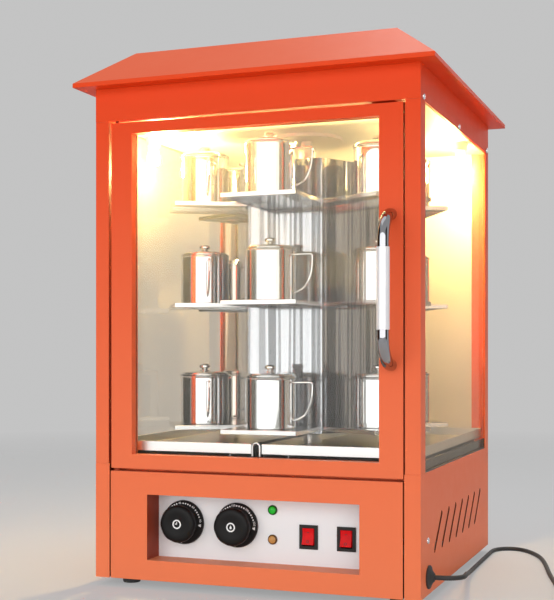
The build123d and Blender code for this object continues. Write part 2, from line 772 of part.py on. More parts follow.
def door_frame():
    """Folded channel frame: face, outer returns and the inner return round the view."""
    back = DOOR_BACK - DOOR_BACK_SHEET
    inner_back = back - GLASS_T - DOOR_SEAL_T
    frame = block(DOOR_X0, DOOR_X1, FRONT, back, DOOR_Z0, DOOR_Z1)
    frame -= block(
        DOOR_X0 + SHEET, DOOR_X1 - SHEET, FRONT + SHEET, back + CUT_OVER,
        DOOR_Z0 + SHEET, DOOR_Z1 - SHEET,
    )
    frame += block(
        VIEW_X0 - SHEET, VIEW_X1 + SHEET, FRONT, inner_back, VIEW_Z0 - SHEET, VIEW_Z1 + SHEET
    )
    frame -= block(VIEW_X0, VIEW_X1, FRONT - CUT_OVER, back + CUT_OVER, VIEW_Z0, VIEW_Z1)
    frame += hinge_block(DOOR_Z1 - SHEET - HINGE_BLOCK, DOOR_Z1 - SHEET)
    frame += hinge_block(DOOR_Z0 + SHEET, DOOR_Z0 + SHEET + HINGE_BLOCK)
    bore = PIN_R + RUNNING_GAP
    deep = PIN_ENGAGE + CUT_OVER
    frame -= post(PIVOT_X, PIVOT_Y, DOOR_Z0 - CUT_OVER, DOOR_Z0 + deep, bore)
    frame -= post(PIVOT_X, PIVOT_Y, DOOR_Z1 - deep, DOOR_Z1 + CUT_OVER, bore)
    return frame


def door_seal():
    y1 = DOOR_BACK - DOOR_BACK_SHEET - GLASS_T
    lap = GLASS_LAP
    return ring(
        VIEW_X0 - lap, VIEW_X1 + lap, y1 - DOOR_SEAL_T, y1, VIEW_Z0 - lap, VIEW_Z1 + lap, 0
    )


def door_glass():
    y1 = DOOR_BACK - DOOR_BACK_SHEET
    lap = GLASS_LAP
    return block(VIEW_X0 - lap, VIEW_X1 + lap, y1 - GLASS_T, y1, VIEW_Z0 - lap, VIEW_Z1 + lap)


def door_back_frame():
    y0 = DOOR_BACK - DOOR_BACK_SHEET
    return ring(DOOR_X0, DOOR_X1, y0, DOOR_BACK, DOOR_Z0, DOOR_Z1, 0)


def door_handle():
    """Round bow bent from one tube."""
    z0 = HANDLE_BOTTOM_Z
    z1 = HANDLE_BOTTOM_Z + HANDLE_SPAN
    corners = [
        (HANDLE_X, FRONT, z0),
        (HANDLE_X, HANDLE_LINE, z0),
        (HANDLE_X, HANDLE_LINE, z1),
        (HANDLE_X, FRONT, z1),
    ]
    path = FilletPolyline(*corners, radius=HANDLE_BEND)
    section = Plane(origin=corners[0], z_dir=(0, -1, 0)) * Circle(HANDLE_R)
    return sweep(section, path=path)


def hinge_pins():
    upper = post(PIVOT_X, PIVOT_Y, DOOR_Z1 - PIN_ENGAGE, Z_CEILING, PIN_R)
    upper += post(PIVOT_X, PIVOT_Y, Z_CEILING, Z_CEILING + SHEET, PIN_HEAD_R)
    lower = post(PIVOT_X, PIVOT_Y, Z_SILL - SHEET, DOOR_Z0 + PIN_ENGAGE, PIN_R)
    lower += post(PIVOT_X, PIVOT_Y, Z_SILL, DOOR_Z0 - FIT_GAP, PIN_HEAD_R)
    return [upper, lower]


def catch_span():
    x1 = DOOR_X1 - CATCH_FROM_LATCH_EDGE
    return x1 - CATCH_W, x1


def door_strike():
    x0, x1 = catch_span()
    top = DOOR_Z1 - STRIKE_TOP_GAP
    return block(x0, x1, DOOR_BACK, DOOR_BACK + STRIKE_T, Z_HEAD - CATCH_H, top)


def magnetic_catch():
    """Magnet box under the header, with its two pole strips proud of the case."""
    x0, x1 = catch_span()
    y0 = DOOR_BACK + STRIKE_T + FIT_GAP
    z0 = Z_HEAD - CATCH_H
    pole = STRIKE_T
    case = block(x0, x1, y0 + pole, y0 + CATCH_D, z0, Z_HEAD)
    for low in (z0 + POLE_INSET, z0 + POLE_INSET + POLE_W + POLE_GAP):
        case += block(x0 + POLE_INSET, x1 - POLE_INSET, y0, y0 + pole, low, low + POLE_W)
    return case


# Controls
def control_panel():
    sheet = block(
        PANEL_X0 - SHEET, PANEL_X1 + SHEET, PANEL_FACE, PANEL_BACK, PANEL_Z0 - SHEET, PANEL_Z1 + SHEET
    )
    for x in KNOB_X:
        sheet -= facing_front(x, PANEL_FACE, KNOB_Z) * Cylinder(PANEL_SPINDLE_HOLE_R, 6 * SHEET)
    for z in INDICATOR_Z:
        hole = Cylinder(INDICATOR_BARREL_R + RUNNING_GAP, 6 * SHEET)
        sheet -= facing_front(INDICATOR_X, PANEL_FACE, z) * hole
    for x in SWITCH_X:
        cut = Box(SWITCH_BODY_W + FIT_GAP, SWITCH_BODY_H + FIT_GAP, 6 * SHEET)
        sheet -= facing_front(x, PANEL_FACE, SWITCH_Z) * cut
    return sheet


def knob(x):
    """Skirted dial knob with a many-sided tapered grip, bored for its spindle."""
    top = KNOB_SKIRT_H + KNOB_GRIP_H
    rim = KNOB_SKIRT_R - KNOB_SKIRT_TAPER
    body = spun([(0, 0), (KNOB_SKIRT_R, 0), (rim, KNOB_SKIRT_H), (0, KNOB_SKIRT_H)])
    foot = Plane.XY.offset(KNOB_SKIRT_H) * RegularPolygon(KNOB_GRIP_R, KNOB_SIDES)
    tip = Plane.XY.offset(top) * RegularPolygon(KNOB_TIP_R, KNOB_SIDES)
    body += loft([foot, tip])
    body -= Cylinder(SPINDLE_R + RUNNING_GAP, 2 * SPINDLE_IN_KNOB)
    return facing_front(x, PANEL_FACE - KNOB_STANDOFF, KNOB_Z) * body


def spindle(x):
    y0 = PANEL_FACE - KNOB_STANDOFF - SPINDLE_IN_KNOB
    y1 = PANEL_BACK + SPINDLE_IN_BODY
    return facing_front(x, (y0 + y1) / 2, KNOB_Z) * Cylinder(SPINDLE_R, y1 - y0)


def thermostat(x):
    half = THERMOSTAT_W / 2
    y1 = PANEL_BACK + THERMOSTAT_D
    body = block(x - half, x + half, PANEL_BACK, y1, KNOB_Z - half, KNOB_Z + half)
    body = fillet(body.edges().filter_by(Axis.Y), THERMOSTAT_W / 8)
    bore = Cylinder(SPINDLE_R + RUNNING_GAP, 2 * SPINDLE_IN_BODY)
    body -= facing_front(x, PANEL_BACK, KNOB_Z) * bore
    return body


def indicator(z):
    outline = [
        (0, -INDICATOR_BARREL_L),
        (INDICATOR_BARREL_R, -INDICATOR_BARREL_L),
        (INDICATOR_BARREL_R, 0),
        (INDICATOR_BEZEL_R, 0),
        (INDICATOR_BEZEL_R - INDICATOR_BEZEL_TAPER, INDICATOR_BEZEL_H),
        (INDICATOR_LENS_R, INDICATOR_BEZEL_H),
        (INDICATOR_LENS_R * 0.75, INDICATOR_BEZEL_H + INDICATOR_LENS_H * 0.7),
        (0, INDICATOR_BEZEL_H + INDICATOR_LENS_H),
    ]
    return facing_front(INDICATOR_X, PANEL_FACE, z) * spun(outline)


def axle_bar(radius, length):
    return Pos(0, 0, -ROCKER_AXLE_DEPTH) * Rot(0, 90, 0) * Cylinder(radius, length)


def switch_body(x):
    """Bezel and case with the pocket and axle holes of the rocker."""
    pocket_w = SWITCH_BODY_W - 2 * SWITCH_WALL
    pocket_h = SWITCH_BODY_H - 2 * SWITCH_WALL
    bezel = Pos(0, 0, SWITCH_BEZEL_T / 2) * Box(SWITCH_BEZEL_W, SWITCH_BEZEL_H, SWITCH_BEZEL_T)
    body = bezel + Pos(0, 0, -SWITCH_BODY_D / 2) * Box(SWITCH_BODY_W, SWITCH_BODY_H, SWITCH_BODY_D)
    body -= Pos(0, 0, 0) * Box(pocket_w, pocket_h, 2 * SWITCH_POCKET_D)
    body -= axle_bar(ROCKER_AXLE_R + RUNNING_GAP, pocket_w + 2 * ROCKER_AXLE_BITE + FIT_GAP)
    return facing_front(x, PANEL_FACE, SWITCH_Z) * body


def rocker(x):
    """Waisted rocker on its axle, tilted with the upper end pressed in."""
    half = ROCKER_H / 2
    pocket_w = SWITCH_BODY_W - 2 * SWITCH_WALL
    width = pocket_w - 2 * ROCKER_SIDE_GAP
    low = -ROCKER_AXLE_DEPTH
    profile = Polyline(
        (-half, low),
        (-half, ROCKER_CREST),
        (0, ROCKER_WAIST),
        (half, ROCKER_CREST),
        (half, low),
        (half / 3, low - ROCKER_KEEL),
        (-half / 3, low - ROCKER_KEEL),
        close=True,
    )
    paddle = extrude(Plane.YZ * make_face(profile), width / 2, both=True)
    paddle += axle_bar(ROCKER_AXLE_R, pocket_w + 2 * ROCKER_AXLE_BITE)
    pivot = Pos(0, 0, -ROCKER_AXLE_DEPTH)
    tilted = pivot * Rot(-ROCKER_TILT, 0, 0) * pivot.inverse() * paddle
    return facing_front(x, PANEL_FACE, SWITCH_Z) * tilted


def terminal_block():
    z0 = FOOT_H + SHEET
    z1 = z0 + TERMINAL_H
    half = TERMINAL_L / 2
    body = block(
        TERMINAL_X - half, TERMINAL_X + half, TERMINAL_Y, TERMINAL_Y + TERMINAL_W, z0, z1
    )
    pitch = TERMINAL_L / TERMINAL_WAYS
    for i in range(TERMINAL_WAYS):
        x = TERMINAL_X - half + (i + 0.5) * pitch
        y = TERMINAL_Y + TERMINAL_W / 2
        body -= Pos(x, y, z1) * Box(pitch / 2, pitch / 2, TERMINAL_H)
    return body


# Carousel
def column_places():
    return [Rot(0, 0, 360 * i / COLUMNS) for i in range(COLUMNS)]


def hexagon(apothem, z0, z1):
    outline = RegularPolygon(apothem, COLUMNS, major_radius=False)
    return extrude(Plane.XY.offset(z0) * outline, z1 - z0)


def drum():
    """Hexagonal drum, slotted for the tabs of every tray."""
    shell = hexagon(DRUM_APOTHEM, DRUM_Z0, DRUM_Z1)
    shell -= hexagon(DRUM_APOTHEM - DRUM_SHEET, DRUM_Z0 - CUT_OVER, DRUM_Z1 + CUT_OVER)
    gap = TAB_SLOT_GAP
    half = TRAY_TAB_W / 2 + gap
    slots = []
    for top in TRAY_TOPS.values():
        for x in (-TRAY_RIB_X, TRAY_RIB_X):
            slots.append(
                block(
                    x - half, x + half, -DRUM_APOTHEM - CUT_OVER, -DRUM_APOTHEM + 2 * DRUM_SHEET,
                    top - TRAY_SHEET - gap, top + gap,
                )
            )
    shell -= [turn * slot for turn in column_places() for slot in slots]
    return shell


def drum_ends():
    """End plates of the drum, each welded to a hub on the shaft, the upper one up to its bearing."""
    bore = SHAFT_R + RUNNING_GAP
    hub_low = DRUM_Z0 - DRUM_HUB_H
    hub_high = Z_CEILING_HUB - HUB_END_GAP
    low = hexagon(DRUM_APOTHEM - DRUM_SHEET, DRUM_Z0, DRUM_Z0 + SHEET)
    low += post(0, 0, hub_low, DRUM_Z0, DRUM_HUB_R)
    low -= post(0, 0, hub_low - CUT_OVER, DRUM_Z0 + SHEET + CUT_OVER, bore)
    high = hexagon(DRUM_APOTHEM - DRUM_SHEET, DRUM_Z1 - SHEET, DRUM_Z1)
    high += post(0, 0, DRUM_Z1, hub_high, DRUM_HUB_R)
    high -= post(0, 0, DRUM_Z1 - SHEET - CUT_OVER, hub_high + CUT_OVER, bore)
    return [low, high]


def shaft_ends():
    z0 = Z_BRACKET + SHEET + COUPLING_GAP + COUPLING_LOWER_BITE + FIT_GAP
    return z0, Z_CEILING - SHAFT_END_GAP


def carousel_shaft():
    z0, z1 = shaft_ends()
    return post(0, 0, z0, z1, SHAFT_R)


def tray(top):
    """Folded tray for the front column: lips down, heel on the drum, tabs through its slots."""
    half = TRAY_W / 2
    t = TRAY_SHEET
    heel = -DRUM_APOTHEM
    toe = -TRAY_REACH
    sheet = block(-half, half, toe, heel, top - t, top)
    sheet += block(-half, half, toe, toe + t, top - TRAY_LIP, top)
    for side in (-1, 1):
        sheet += block(side * half, side * (half - t), toe, heel - t, top - TRAY_LIP, top)
        x = side * TRAY_RIB_X
        rib = Polyline(
            (heel, top - TRAY_HEEL), (heel, top - t), (toe + t, top - t), (toe + t, top - TRAY_LIP),
            close=True,
        )
        sheet += extrude(Plane.YZ.offset(x - t / 2) * make_face(rib), t)
        tab = TRAY_TAB_W / 2
        back = heel + TRAY_TAB_REACH
        sheet += block(x - tab, x + tab, heel, back, top - t, top)
        sheet += block(x - tab, x + tab, back - t, back, top - TRAY_TAB_DROP, top)
    return sheet


def mug_at(top):
    return Pos(0, -MUG_ORBIT, top)


def mug():
    """Straight steel mug with a bent wire handle."""
    inner = MUG_R - MUG_WALL
    body = spun(
        [(0, 0), (MUG_R, 0), (MUG_R, MUG_H), (inner, MUG_H), (inner, MUG_WALL), (0, MUG_WALL)]
    )
    root_x = MUG_R - MUG_WALL / 2
    out = MUG_R + MUG_HANDLE_OUT - MUG_WIRE_R
    corners = [
        (root_x, 0, MUG_HANDLE_TOP),
        (out, 0, MUG_HANDLE_TOP),
        (out, 0, MUG_HANDLE_KNEE),
        (root_x, 0, MUG_HANDLE_FOOT),
    ]
    path = FilletPolyline(*corners, radius=[MUG_HANDLE_BEND, MUG_HANDLE_KNEE_BEND])
    section = Plane(origin=corners[0], z_dir=(1, 0, 0)) * RegularPolygon(MUG_WIRE_R, MUG_WIRE_SIDES)
    wire = sweep(section, path=path)
    wire -= post(0, 0, -CUT_OVER, MUG_H + CUT_OVER, inner)
    return body + wire


def lid():
    """Domed sheet lid with a rolled rim and a round knob."""
    crown = LID_RIM_T + LID_RISE
    knob_z = crown + LID_KNOB_H
    outline = [
        (0, crown - LID_SHEET),
        (MUG_R - MUG_WALL, 0),
        (LID_R, 0),
        (LID_R, LID_RIM_T),
        (LID_NECK_R, crown),
        (LID_KNOB_R, crown + LID_KNOB_H * 0.45),
        (LID_KNOB_R * 0.7, knob_z),
        (0, knob_z),
    ]
    return Pos(0, 0, MUG_H + FIT_GAP) * spun(outline)


def ring_of(piece):
    return [turn * piece for turn in column_places()]


# Bearings and drive
def lower_bearing():
    bore = SHAFT_R + RUNNING_GAP
    z0 = Z_FLOOR
    outline = [
        (bore, z0),
        (BEARING_FLANGE_R, z0),
        (BEARING_FLANGE_R, z0 + BEARING_FLANGE_T),
        (BEARING_HUB_R, z0 + BEARING_FLANGE_T),
        (BEARING_HUB_R, Z_BEARING),
        (bore, Z_BEARING),
    ]
    return spun(outline)


def upper_bearing():
    bore = SHAFT_R + RUNNING_GAP
    z1 = Z_CEILING
    outline = [
        (bore, z1),
        (CEILING_DISC_R, z1),
        (CEILING_DISC_R, z1 - CEILING_DISC_T),
        (CEILING_HUB_R, z1 - CEILING_DISC_T),
        (CEILING_HUB_R, Z_CEILING_HUB),
        (bore, Z_CEILING_HUB),
    ]
    return spun(outline)


def motor_bracket():
    """Strap hung from the floor, with the gearbox bolted up under it."""
    half = BRACKET_HALF_W
    y = BRACKET_D / 2
    strap = block(-half, half, -y, y, Z_BRACKET, Z_BRACKET + SHEET)
    for side in (-1, 1):
        strap += block(side * half, side * (half - SHEET), -y, y, Z_BRACKET, Z_DECK)
        strap += block(side * half, side * (half + BRACKET_FOOT), -y, y, Z_DECK - SHEET, Z_DECK)
    return strap - post(0, 0, Z_BRACKET - CUT_OVER, Z_BRACKET + SHEET + CUT_OVER, BRACKET_HOLE_R)


def gear_motor():
    z1 = Z_BRACKET
    body = post(0, 0, z1 - GEARBOX_H, z1, GEARBOX_R)
    body += post(0, 0, z1 - GEARBOX_H - MOTOR_H, z1 - GEARBOX_H, MOTOR_R)
    bore = MOTOR_SHAFT_R + RUNNING_GAP
    return body - post(0, 0, z1 - MOTOR_SHAFT_DEPTH - CUT_OVER, z1 + CUT_OVER, bore)


def motor_shaft():
    z1 = Z_BRACKET + SHEET + COUPLING_GAP + COUPLING_LOWER_BITE
    return post(0, 0, Z_BRACKET - MOTOR_SHAFT_DEPTH, z1, MOTOR_SHAFT_R)


def drive_coupling():
    z0 = Z_BRACKET + SHEET + COUPLING_GAP
    step = z0 + COUPLING_LOWER_BITE
    z1 = step + COUPLING_UPPER_BITE
    sleeve = post(0, 0, z0, z1, COUPLING_R)
    sleeve -= post(0, 0, z0 - CUT_OVER, step + CUT_OVER, MOTOR_SHAFT_R + RUNNING_GAP)
    return sleeve - post(0, 0, step, z1 + CUT_OVER, SHAFT_R + RUNNING_GAP)


# Mains lead
def cord_gland():
    """Rubber boot: flange and cone outside the panel, neck through it and a nut inside."""
    outline = [
        (0, -GLAND_INSIDE),
        (GLAND_NUT_R, -GLAND_INSIDE),
        (GLAND_NUT_R, -SHEET),
        (GLAND_NECK_R, -SHEET),
        (GLAND_NECK_R, 0),
        (GLAND_FLANGE_R, 0),
        (GLAND_FLANGE_R, GLAND_FLANGE_T),
        (GLAND_SHOULDER_R, GLAND_FLANGE_T + GLAND_STEP),
        (GLAND_TIP_R, GLAND_PROUD),
        (0, GLAND_PROUD),
    ]
    return Pos(HALF_W, GLAND_Y, GLAND_Z) * Rot(0, 90, 0) * spun(outline)


def cord_section(at, heading):
    return Plane(origin=at, z_dir=heading) * RegularPolygon(CORD_D / 2, CORD_SIDES)


def cord_points():
    first = (HALF_W + GLAND_PROUD, GLAND_Y, GLAND_Z)
    last = (COIL_X - COIL_R, COIL_Y + CORD_D, Z_COIL)
    return [Vector(*p) for p in (first, *CORD_ROUTE, last)]


def mains_cord():
    """Free stretch from the gland to the coil, with arcs as large as their runs allow."""
    points = cord_points()
    radii = []
    for before, here, after in zip(points, points[1:], points[2:]):
        turn = math.radians((here - before).get_angle(after - here))
        shorter = min((here - before).length, (after - here).length)
        radii.append(0.45 * shorter / math.tan(turn / 2))
    print("cord radii", [round(r) for r in radii])
    path = FilletPolyline(*points, radius=radii)
    print("cord length", round(path.length, 1))
    return sweep(cord_section(points[0], points[1] - points[0]), path=path)


def coil_corners():
    """Ends of the half turns of the coil: in on the lower layer, up half a turn, out on the upper."""
    halves = 2 * COIL_TURNS_PER_LAYER
    reach = COIL_R
    side = -1
    corners = [(side * reach, Z_COIL)]
    for i in range(halves):
        side = -side
        reach -= COIL_PITCH * (i % 2)
        corners.append((side * reach, Z_COIL))
    side = -side
    corners.append((side * reach, Z_COIL_TOP))
    for i in range(halves):
        side = -side
        reach += COIL_PITCH * ((i + 1) % 2)
        corners.append((side * reach, Z_COIL_TOP))
    return [Vector(COIL_X + x, COIL_Y, z) for x, z in corners]


def coil_edges():
    """Half-turn arcs, with the climb between layers as a pair of quarter turns."""
    corners = coil_corners()
    start = corners[0] + Vector(0, CORD_D, 0)
    edges = [Edge.make_line(start, corners[0])]
    for i, (a, b) in enumerate(zip(corners, corners[1:])):
        heading = Vector(0, -1 if i % 2 == 0 else 1, 0)
        if a.Z == b.Z:
            edges.append(Edge.make_tangent_arc(a, heading, b))
            continue
        across = (b - a).length / 2
        middle = (a + b) * 0.5 + heading * across
        edges.append(Edge.make_tangent_arc(a, heading, middle))
        edges.append(Edge.make_tangent_arc(middle, edges[-1] % 1, b))
    edges.append(Edge.make_line(corners[-1], corners[-1] + Vector(0, CORD_D, 0)))
    return edges


def coil_gap(edges):
    """Least distance between turns that don't follow each other, less the cord's own thickness."""
    points = []
    run = 0.0
    for edge in edges:
        steps = max(2, int(edge.length / 4))
        for k in range(steps):
            points.append((run + edge.length * k / steps, edge @ (k / steps)))
        run += edge.length
    apart = 4 * CORD_D
    least = min(
        (p - q).length for i, (s, p) in enumerate(points) for t, q in points[i:] if t - s > apart
    )
    return least - CORD_D


def cord_coil():
    edges = coil_edges()
    print("coil length", round(sum(e.length for e in edges), 1), "gap", round(coil_gap(edges), 2))
    path = Wire(edges)
    start = edges[0] @ 0
    return sweep(cord_section(start, Vector(0, -1, 0)), path=path)


def cord_tie():
    """Flat band round the rear of the coil."""
    y0 = COIL_Y + COIL_R - 1.5 * COIL_PITCH - CORD_D / 2 - TIE_SIDE_GAP
    y1 = COIL_Y + COIL_R - 0.5 * COIL_PITCH + CORD_D / 2 + TIE_SIDE_GAP
    z1 = Z_COIL_TOP + CORD_D / 2 + FIT_GAP
    half = TIE_W / 2
    x0, x1 = COIL_X - half, COIL_X + half
    band = block(x0, x1, y0 - TIE_T, y1 + TIE_T, 0, z1 + TIE_T)
    band = fillet(band.edges().filter_by(Axis.X), 2 * TIE_T)
    return band - block(x0 - CUT_OVER, x1 + CUT_OVER, y0, y1, TIE_T, z1)


def plug_axis_y():
    return COIL_Y + CORD_D


def mains_plug():
    """Rewirable plug lying flat at the end of the coil."""
    y0 = plug_axis_y()
    y1 = y0 + PLUG_RELIEF_L
    x = COIL_X + COIL_R
    relief = spun(
        [
            (0, 0),
            (CORD_D / 2 + PLUG_RELIEF_WALL, 0),
            (PLUG_RELIEF_R, PLUG_RELIEF_L),
            (0, PLUG_RELIEF_L),
        ]
    )
    body = Pos(x, y0, Z_COIL_TOP) * Rot(-90, 0, 0) * relief
    half = PLUG_W / 2
    case = block(x - half, x + half, y1, y1 + PLUG_L, 0, 2 * Z_COIL_TOP)
    case = fillet(case.edges().filter_by(Axis.Y), PLUG_W / 8)
    case = chamfer(case.faces().sort_by(Axis.Y)[0].edges(), PLUG_W / 10)
    return body + case


def plug_pins():
    """Three flat blades: two slanted live blades and an earth blade."""
    x = COIL_X + COIL_R
    y0 = plug_axis_y() + PLUG_RELIEF_L + PLUG_L
    blade = Pos(0, y0 + PLUG_PIN_L / 2, 0) * Box(PLUG_PIN_T, PLUG_PIN_L, PLUG_PIN_W)
    centre = Pos(x, 0, Z_COIL_TOP)
    pins = [centre * Pos(0, 0, -PLUG_PIN_ORBIT) * blade]
    for side in (-1, 1):
        lean = Rot(0, -side * 30, 0)
        pins.append(centre * Pos(side * PLUG_PIN_ORBIT, 0, PLUG_PIN_ORBIT / 2) * lean * blade)
    return pins


# Every node
save("base_plate", base_plate())
save("feet", *feet())
save("base_panels", base_side(-1), base_side(1), base_rear_panel())
save("base_fascia", base_fascia())
save("casing_screws", *casing_screws())
save("corner_posts", *corner_posts())
save("headers", front_header(), side_header(-1), side_header(1), rear_header())
save("side_glasses", side_glass(-1), side_glass(1))
save("rear_panel", rear_panel())
save("ceiling_plate", ceiling_plate())
save("roof", roof())
save("lamp_holders", *[lamp_place(side) * lamp_holder() for side in (-1, 1)])
save("lamps", *[lamp_place(side) * lamp() for side in (-1, 1)])
save("chamber_floor", chamber_floor())
save("heaters", heater(-1), heater(1))
save("heater_clips", *heater_clips(-1), *heater_clips(1))
save("pan_rails", *pan_rails())
save("left_drip_pan", drip_pan(-1))
save("right_drip_pan", drip_pan(1))
save("pan_clip", pan_clip())
save("door_frame", door_frame())
save("door_seal", door_seal())
save("door_glass", door_glass())
save("door_back_frame", door_back_frame())
save("door_handle", door_handle())
save("hinge_pins", *hinge_pins())
save("door_strike", door_strike())
save("magnetic_catch", magnetic_catch())
save("control_panel", control_panel())
for side_name, knob_x in zip(("left", "right"), KNOB_X):
    save("knob_" + side_name, knob(knob_x), spindle(knob_x))
save("thermostats", *[thermostat(x) for x in KNOB_X])
for lens_name, lens_z in zip(("green", "amber"), INDICATOR_Z):
    save("indicator_" + lens_name, indicator(lens_z))
save("switch_bodies", *[switch_body(x) for x in SWITCH_X])
for side_name, switch_x in zip(("left", "right"), SWITCH_X):
    save("rocker_" + side_name, rocker(switch_x))
save("terminal_block", terminal_block())
save("drum", drum())
save("drum_ends", *drum_ends())
save("carousel_shaft", carousel_shaft())
save("trays", *[piece for top in TRAY_TOPS.values() for piece in ring_of(tray(top))])
loose_lids = []
for level, tray_top in TRAY_TOPS.items():
    save("mugs_" + level, *ring_of(mug_at(tray_top) * mug()))
    lids = ring_of(mug_at(tray_top) * lid())
    save("lid_front_" + level, lids[0])
    loose_lids += lids[1:]
save("lids", *loose_lids)
save("lower_bearing", lower_bearing())
save("upper_bearing", upper_bearing())
save("motor_bracket", motor_bracket())
save("gear_motor", gear_motor())
save("drive_coupling", drive_coupling(), motor_shaft())
save("cord_gland", cord_gland())
save("mains_cord", mains_cord())
save("cord_coil", cord_coil())
save("cord_tie", cord_tie())
save("mains_plug", mains_plug())
save("plug_pins", *plug_pins())
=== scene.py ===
"""Finishes, fittings and studio of a counter-top rotary roaster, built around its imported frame."""

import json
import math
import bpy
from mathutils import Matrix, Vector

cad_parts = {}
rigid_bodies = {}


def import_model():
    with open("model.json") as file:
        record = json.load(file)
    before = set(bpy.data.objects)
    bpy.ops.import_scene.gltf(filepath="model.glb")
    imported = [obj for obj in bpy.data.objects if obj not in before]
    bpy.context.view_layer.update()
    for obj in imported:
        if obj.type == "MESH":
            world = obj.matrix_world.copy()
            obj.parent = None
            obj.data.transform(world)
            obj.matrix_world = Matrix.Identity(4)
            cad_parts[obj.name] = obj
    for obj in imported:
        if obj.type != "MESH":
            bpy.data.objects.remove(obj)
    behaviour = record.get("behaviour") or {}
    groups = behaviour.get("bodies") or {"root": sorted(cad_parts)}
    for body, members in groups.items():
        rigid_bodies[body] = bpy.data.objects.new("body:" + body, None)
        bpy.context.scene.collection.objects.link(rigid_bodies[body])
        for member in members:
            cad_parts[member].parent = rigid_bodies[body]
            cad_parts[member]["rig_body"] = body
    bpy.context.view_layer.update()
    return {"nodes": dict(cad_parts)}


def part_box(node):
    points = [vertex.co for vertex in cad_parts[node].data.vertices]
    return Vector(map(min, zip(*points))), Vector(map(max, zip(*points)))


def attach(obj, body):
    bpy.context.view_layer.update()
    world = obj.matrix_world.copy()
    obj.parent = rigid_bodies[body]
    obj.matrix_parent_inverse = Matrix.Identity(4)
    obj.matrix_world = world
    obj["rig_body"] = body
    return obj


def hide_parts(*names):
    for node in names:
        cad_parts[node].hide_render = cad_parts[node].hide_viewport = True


bl_info = {
    "name": "Rotary roaster",
    "version": (1, 0, 0),
    "blender": (4, 5, 0),
    "location": "View3D > Sidebar > Roaster",
    "description": "Powder-coated cabinet, mirror-steel carousel, controls and mains lead of a roaster",
    "category": "Object",
}

import bmesh
import bpy
from bpy.props import FloatProperty, FloatVectorProperty, IntProperty, PointerProperty
from bpy.types import Operator, Panel, PropertyGroup
from mathutils import Matrix, Vector
from mathutils.bvhtree import BVHTree

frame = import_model()
NODES = frame["nodes"]
MM = 0.001
SIDES = ("left", "right")


def middle_of(node):
    """Middle of a node's box."""
    low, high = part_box(node)
    return (low + high) / 2


# Where things are, read from the frame
LOW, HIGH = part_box("corner_posts")
AXIS_Y = middle_of("corner_posts").y
MUG_ORBIT = AXIS_Y - middle_of("lid_front_lower").y
PANEL_LOW, PANEL_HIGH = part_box("control_panel")

# Mains lead in millimetres from the cabinet's middle: the solid's route, let out a little at the hump
LEAD_ROUTE = (
    (259.0, -204.0, 36.6), (273.0, -204.0, 36.6), (287.5, -196.2, 36.3), (295.5, -181.5, 35.7),
    (292.6, -156.0, 33.8), (286.2, -118.0, 28.2), (277.5, -72.0, 19.6), (269.8, -24.0, 11.2),
    (264.2, 30.0, 5.9), (261.5, 92.0, 4.0), (260.5, 158.0, 3.6), (260.2, 202.0, 3.6),
    (260.0, 231.0, 3.6), (262.9, 248.5, 3.6), (271.4, 262.5, 3.6), (284.5, 270.0, 3.6),
    (299.4, 269.0, 3.6), (312.6, 260.0, 3.6), (325.0, 243.6, 3.6), (337.8, 221.4, 3.6),
    (348.7, 195.9, 3.6), (358.3, 162.3, 3.6), (368.2, 119.4, 3.6), (377.4, 74.0, 3.6),
    (387.6, 30.0, 3.6), (397.8, -10.0, 3.7), (405.4, -43.0, 4.2), (411.5, -68.0, 4.8),
    (416.0, -88.0, 5.0),
)
COIL_CENTRE = (462.0, -95.0)
COIL_R = 46.0
COIL_PITCH = 7.8
COIL_LOW_Z = 5.0
COIL_HALVES = 4
COIL_STEPS = 9


def colour_of(name, use, value):
    """Colour that a user may change."""
    return FloatVectorProperty(
        name=name, description=use, default=value, subtype="COLOR", size=3, min=0, max=1
    )


def length_of(name, use, value, **limits):
    """Length that a user may change."""
    return FloatProperty(name=name, description=use, default=value, unit="LENGTH", **limits)


def power_of(name, use, value):
    """Power of a light."""
    return FloatProperty(name=name, description=use, default=value, unit="POWER", min=0)


class RoasterFinish(PropertyGroup):
    """Colours of the roaster's finishes."""

    paint: colour_of("Powder coat", "Colour of the cabinet sheets", (0.74, 0.058, 0.009))
    # Painted sheen: the coat is made paler near the floor to stand in for light low down.
    paint_sheen_low: colour_of("Powder coat below", "Paler colour of the coat near the floor", (0.83, 0.21, 0.090))
    steel: colour_of("Mirror steel", "Colour of the mugs, lids and trays", (0.69, 0.68, 0.67))
    satin: colour_of("Satin steel", "Colour of the lining of the chamber", (0.70, 0.69, 0.66))
    enamel: colour_of("Panel enamel", "Colour of the control panel", (0.82, 0.85, 0.87))
    dial: colour_of("Dial black", "Colour of the dial knobs", (0.007, 0.0065, 0.0065))
    rocker: colour_of("Rocker red", "Colour of the lit rockers", (0.55, 0.004, 0.006))
    glow: colour_of("Lamp glow", "Colour of the chamber lamps", (1.0, 0.71, 0.25))
    rubber: colour_of("Lead rubber", "Colour of the mains lead and its boot", (0.022, 0.021, 0.021))


class RoasterSizes(PropertyGroup):
    """Sizes of the fittings that are made here."""

    fold_round: length_of("Fold radius", "Rounding of the folded sheet edges", 0.6 * MM, min=0)
    mug_radius: length_of("Mug radius", "Outside radius of a mug", 38.5 * MM, min=0)
    mug_height: length_of("Mug height", "Height of a mug to its rim", 77 * MM, min=0)
    mug_orbit: length_of("Mug orbit", "Distance of a mug from the carousel's axis", MUG_ORBIT, min=0)
    wire_radius: length_of("Handle wire", "Radius of a mug's handle wire", 1.5 * MM, min=0)
    columns: IntProperty(name="Columns", description="Columns of trays round the drum", default=6, min=1)
    lead_diameter: length_of("Lead diameter", "Thickness of the mains lead", 7 * MM, min=0)


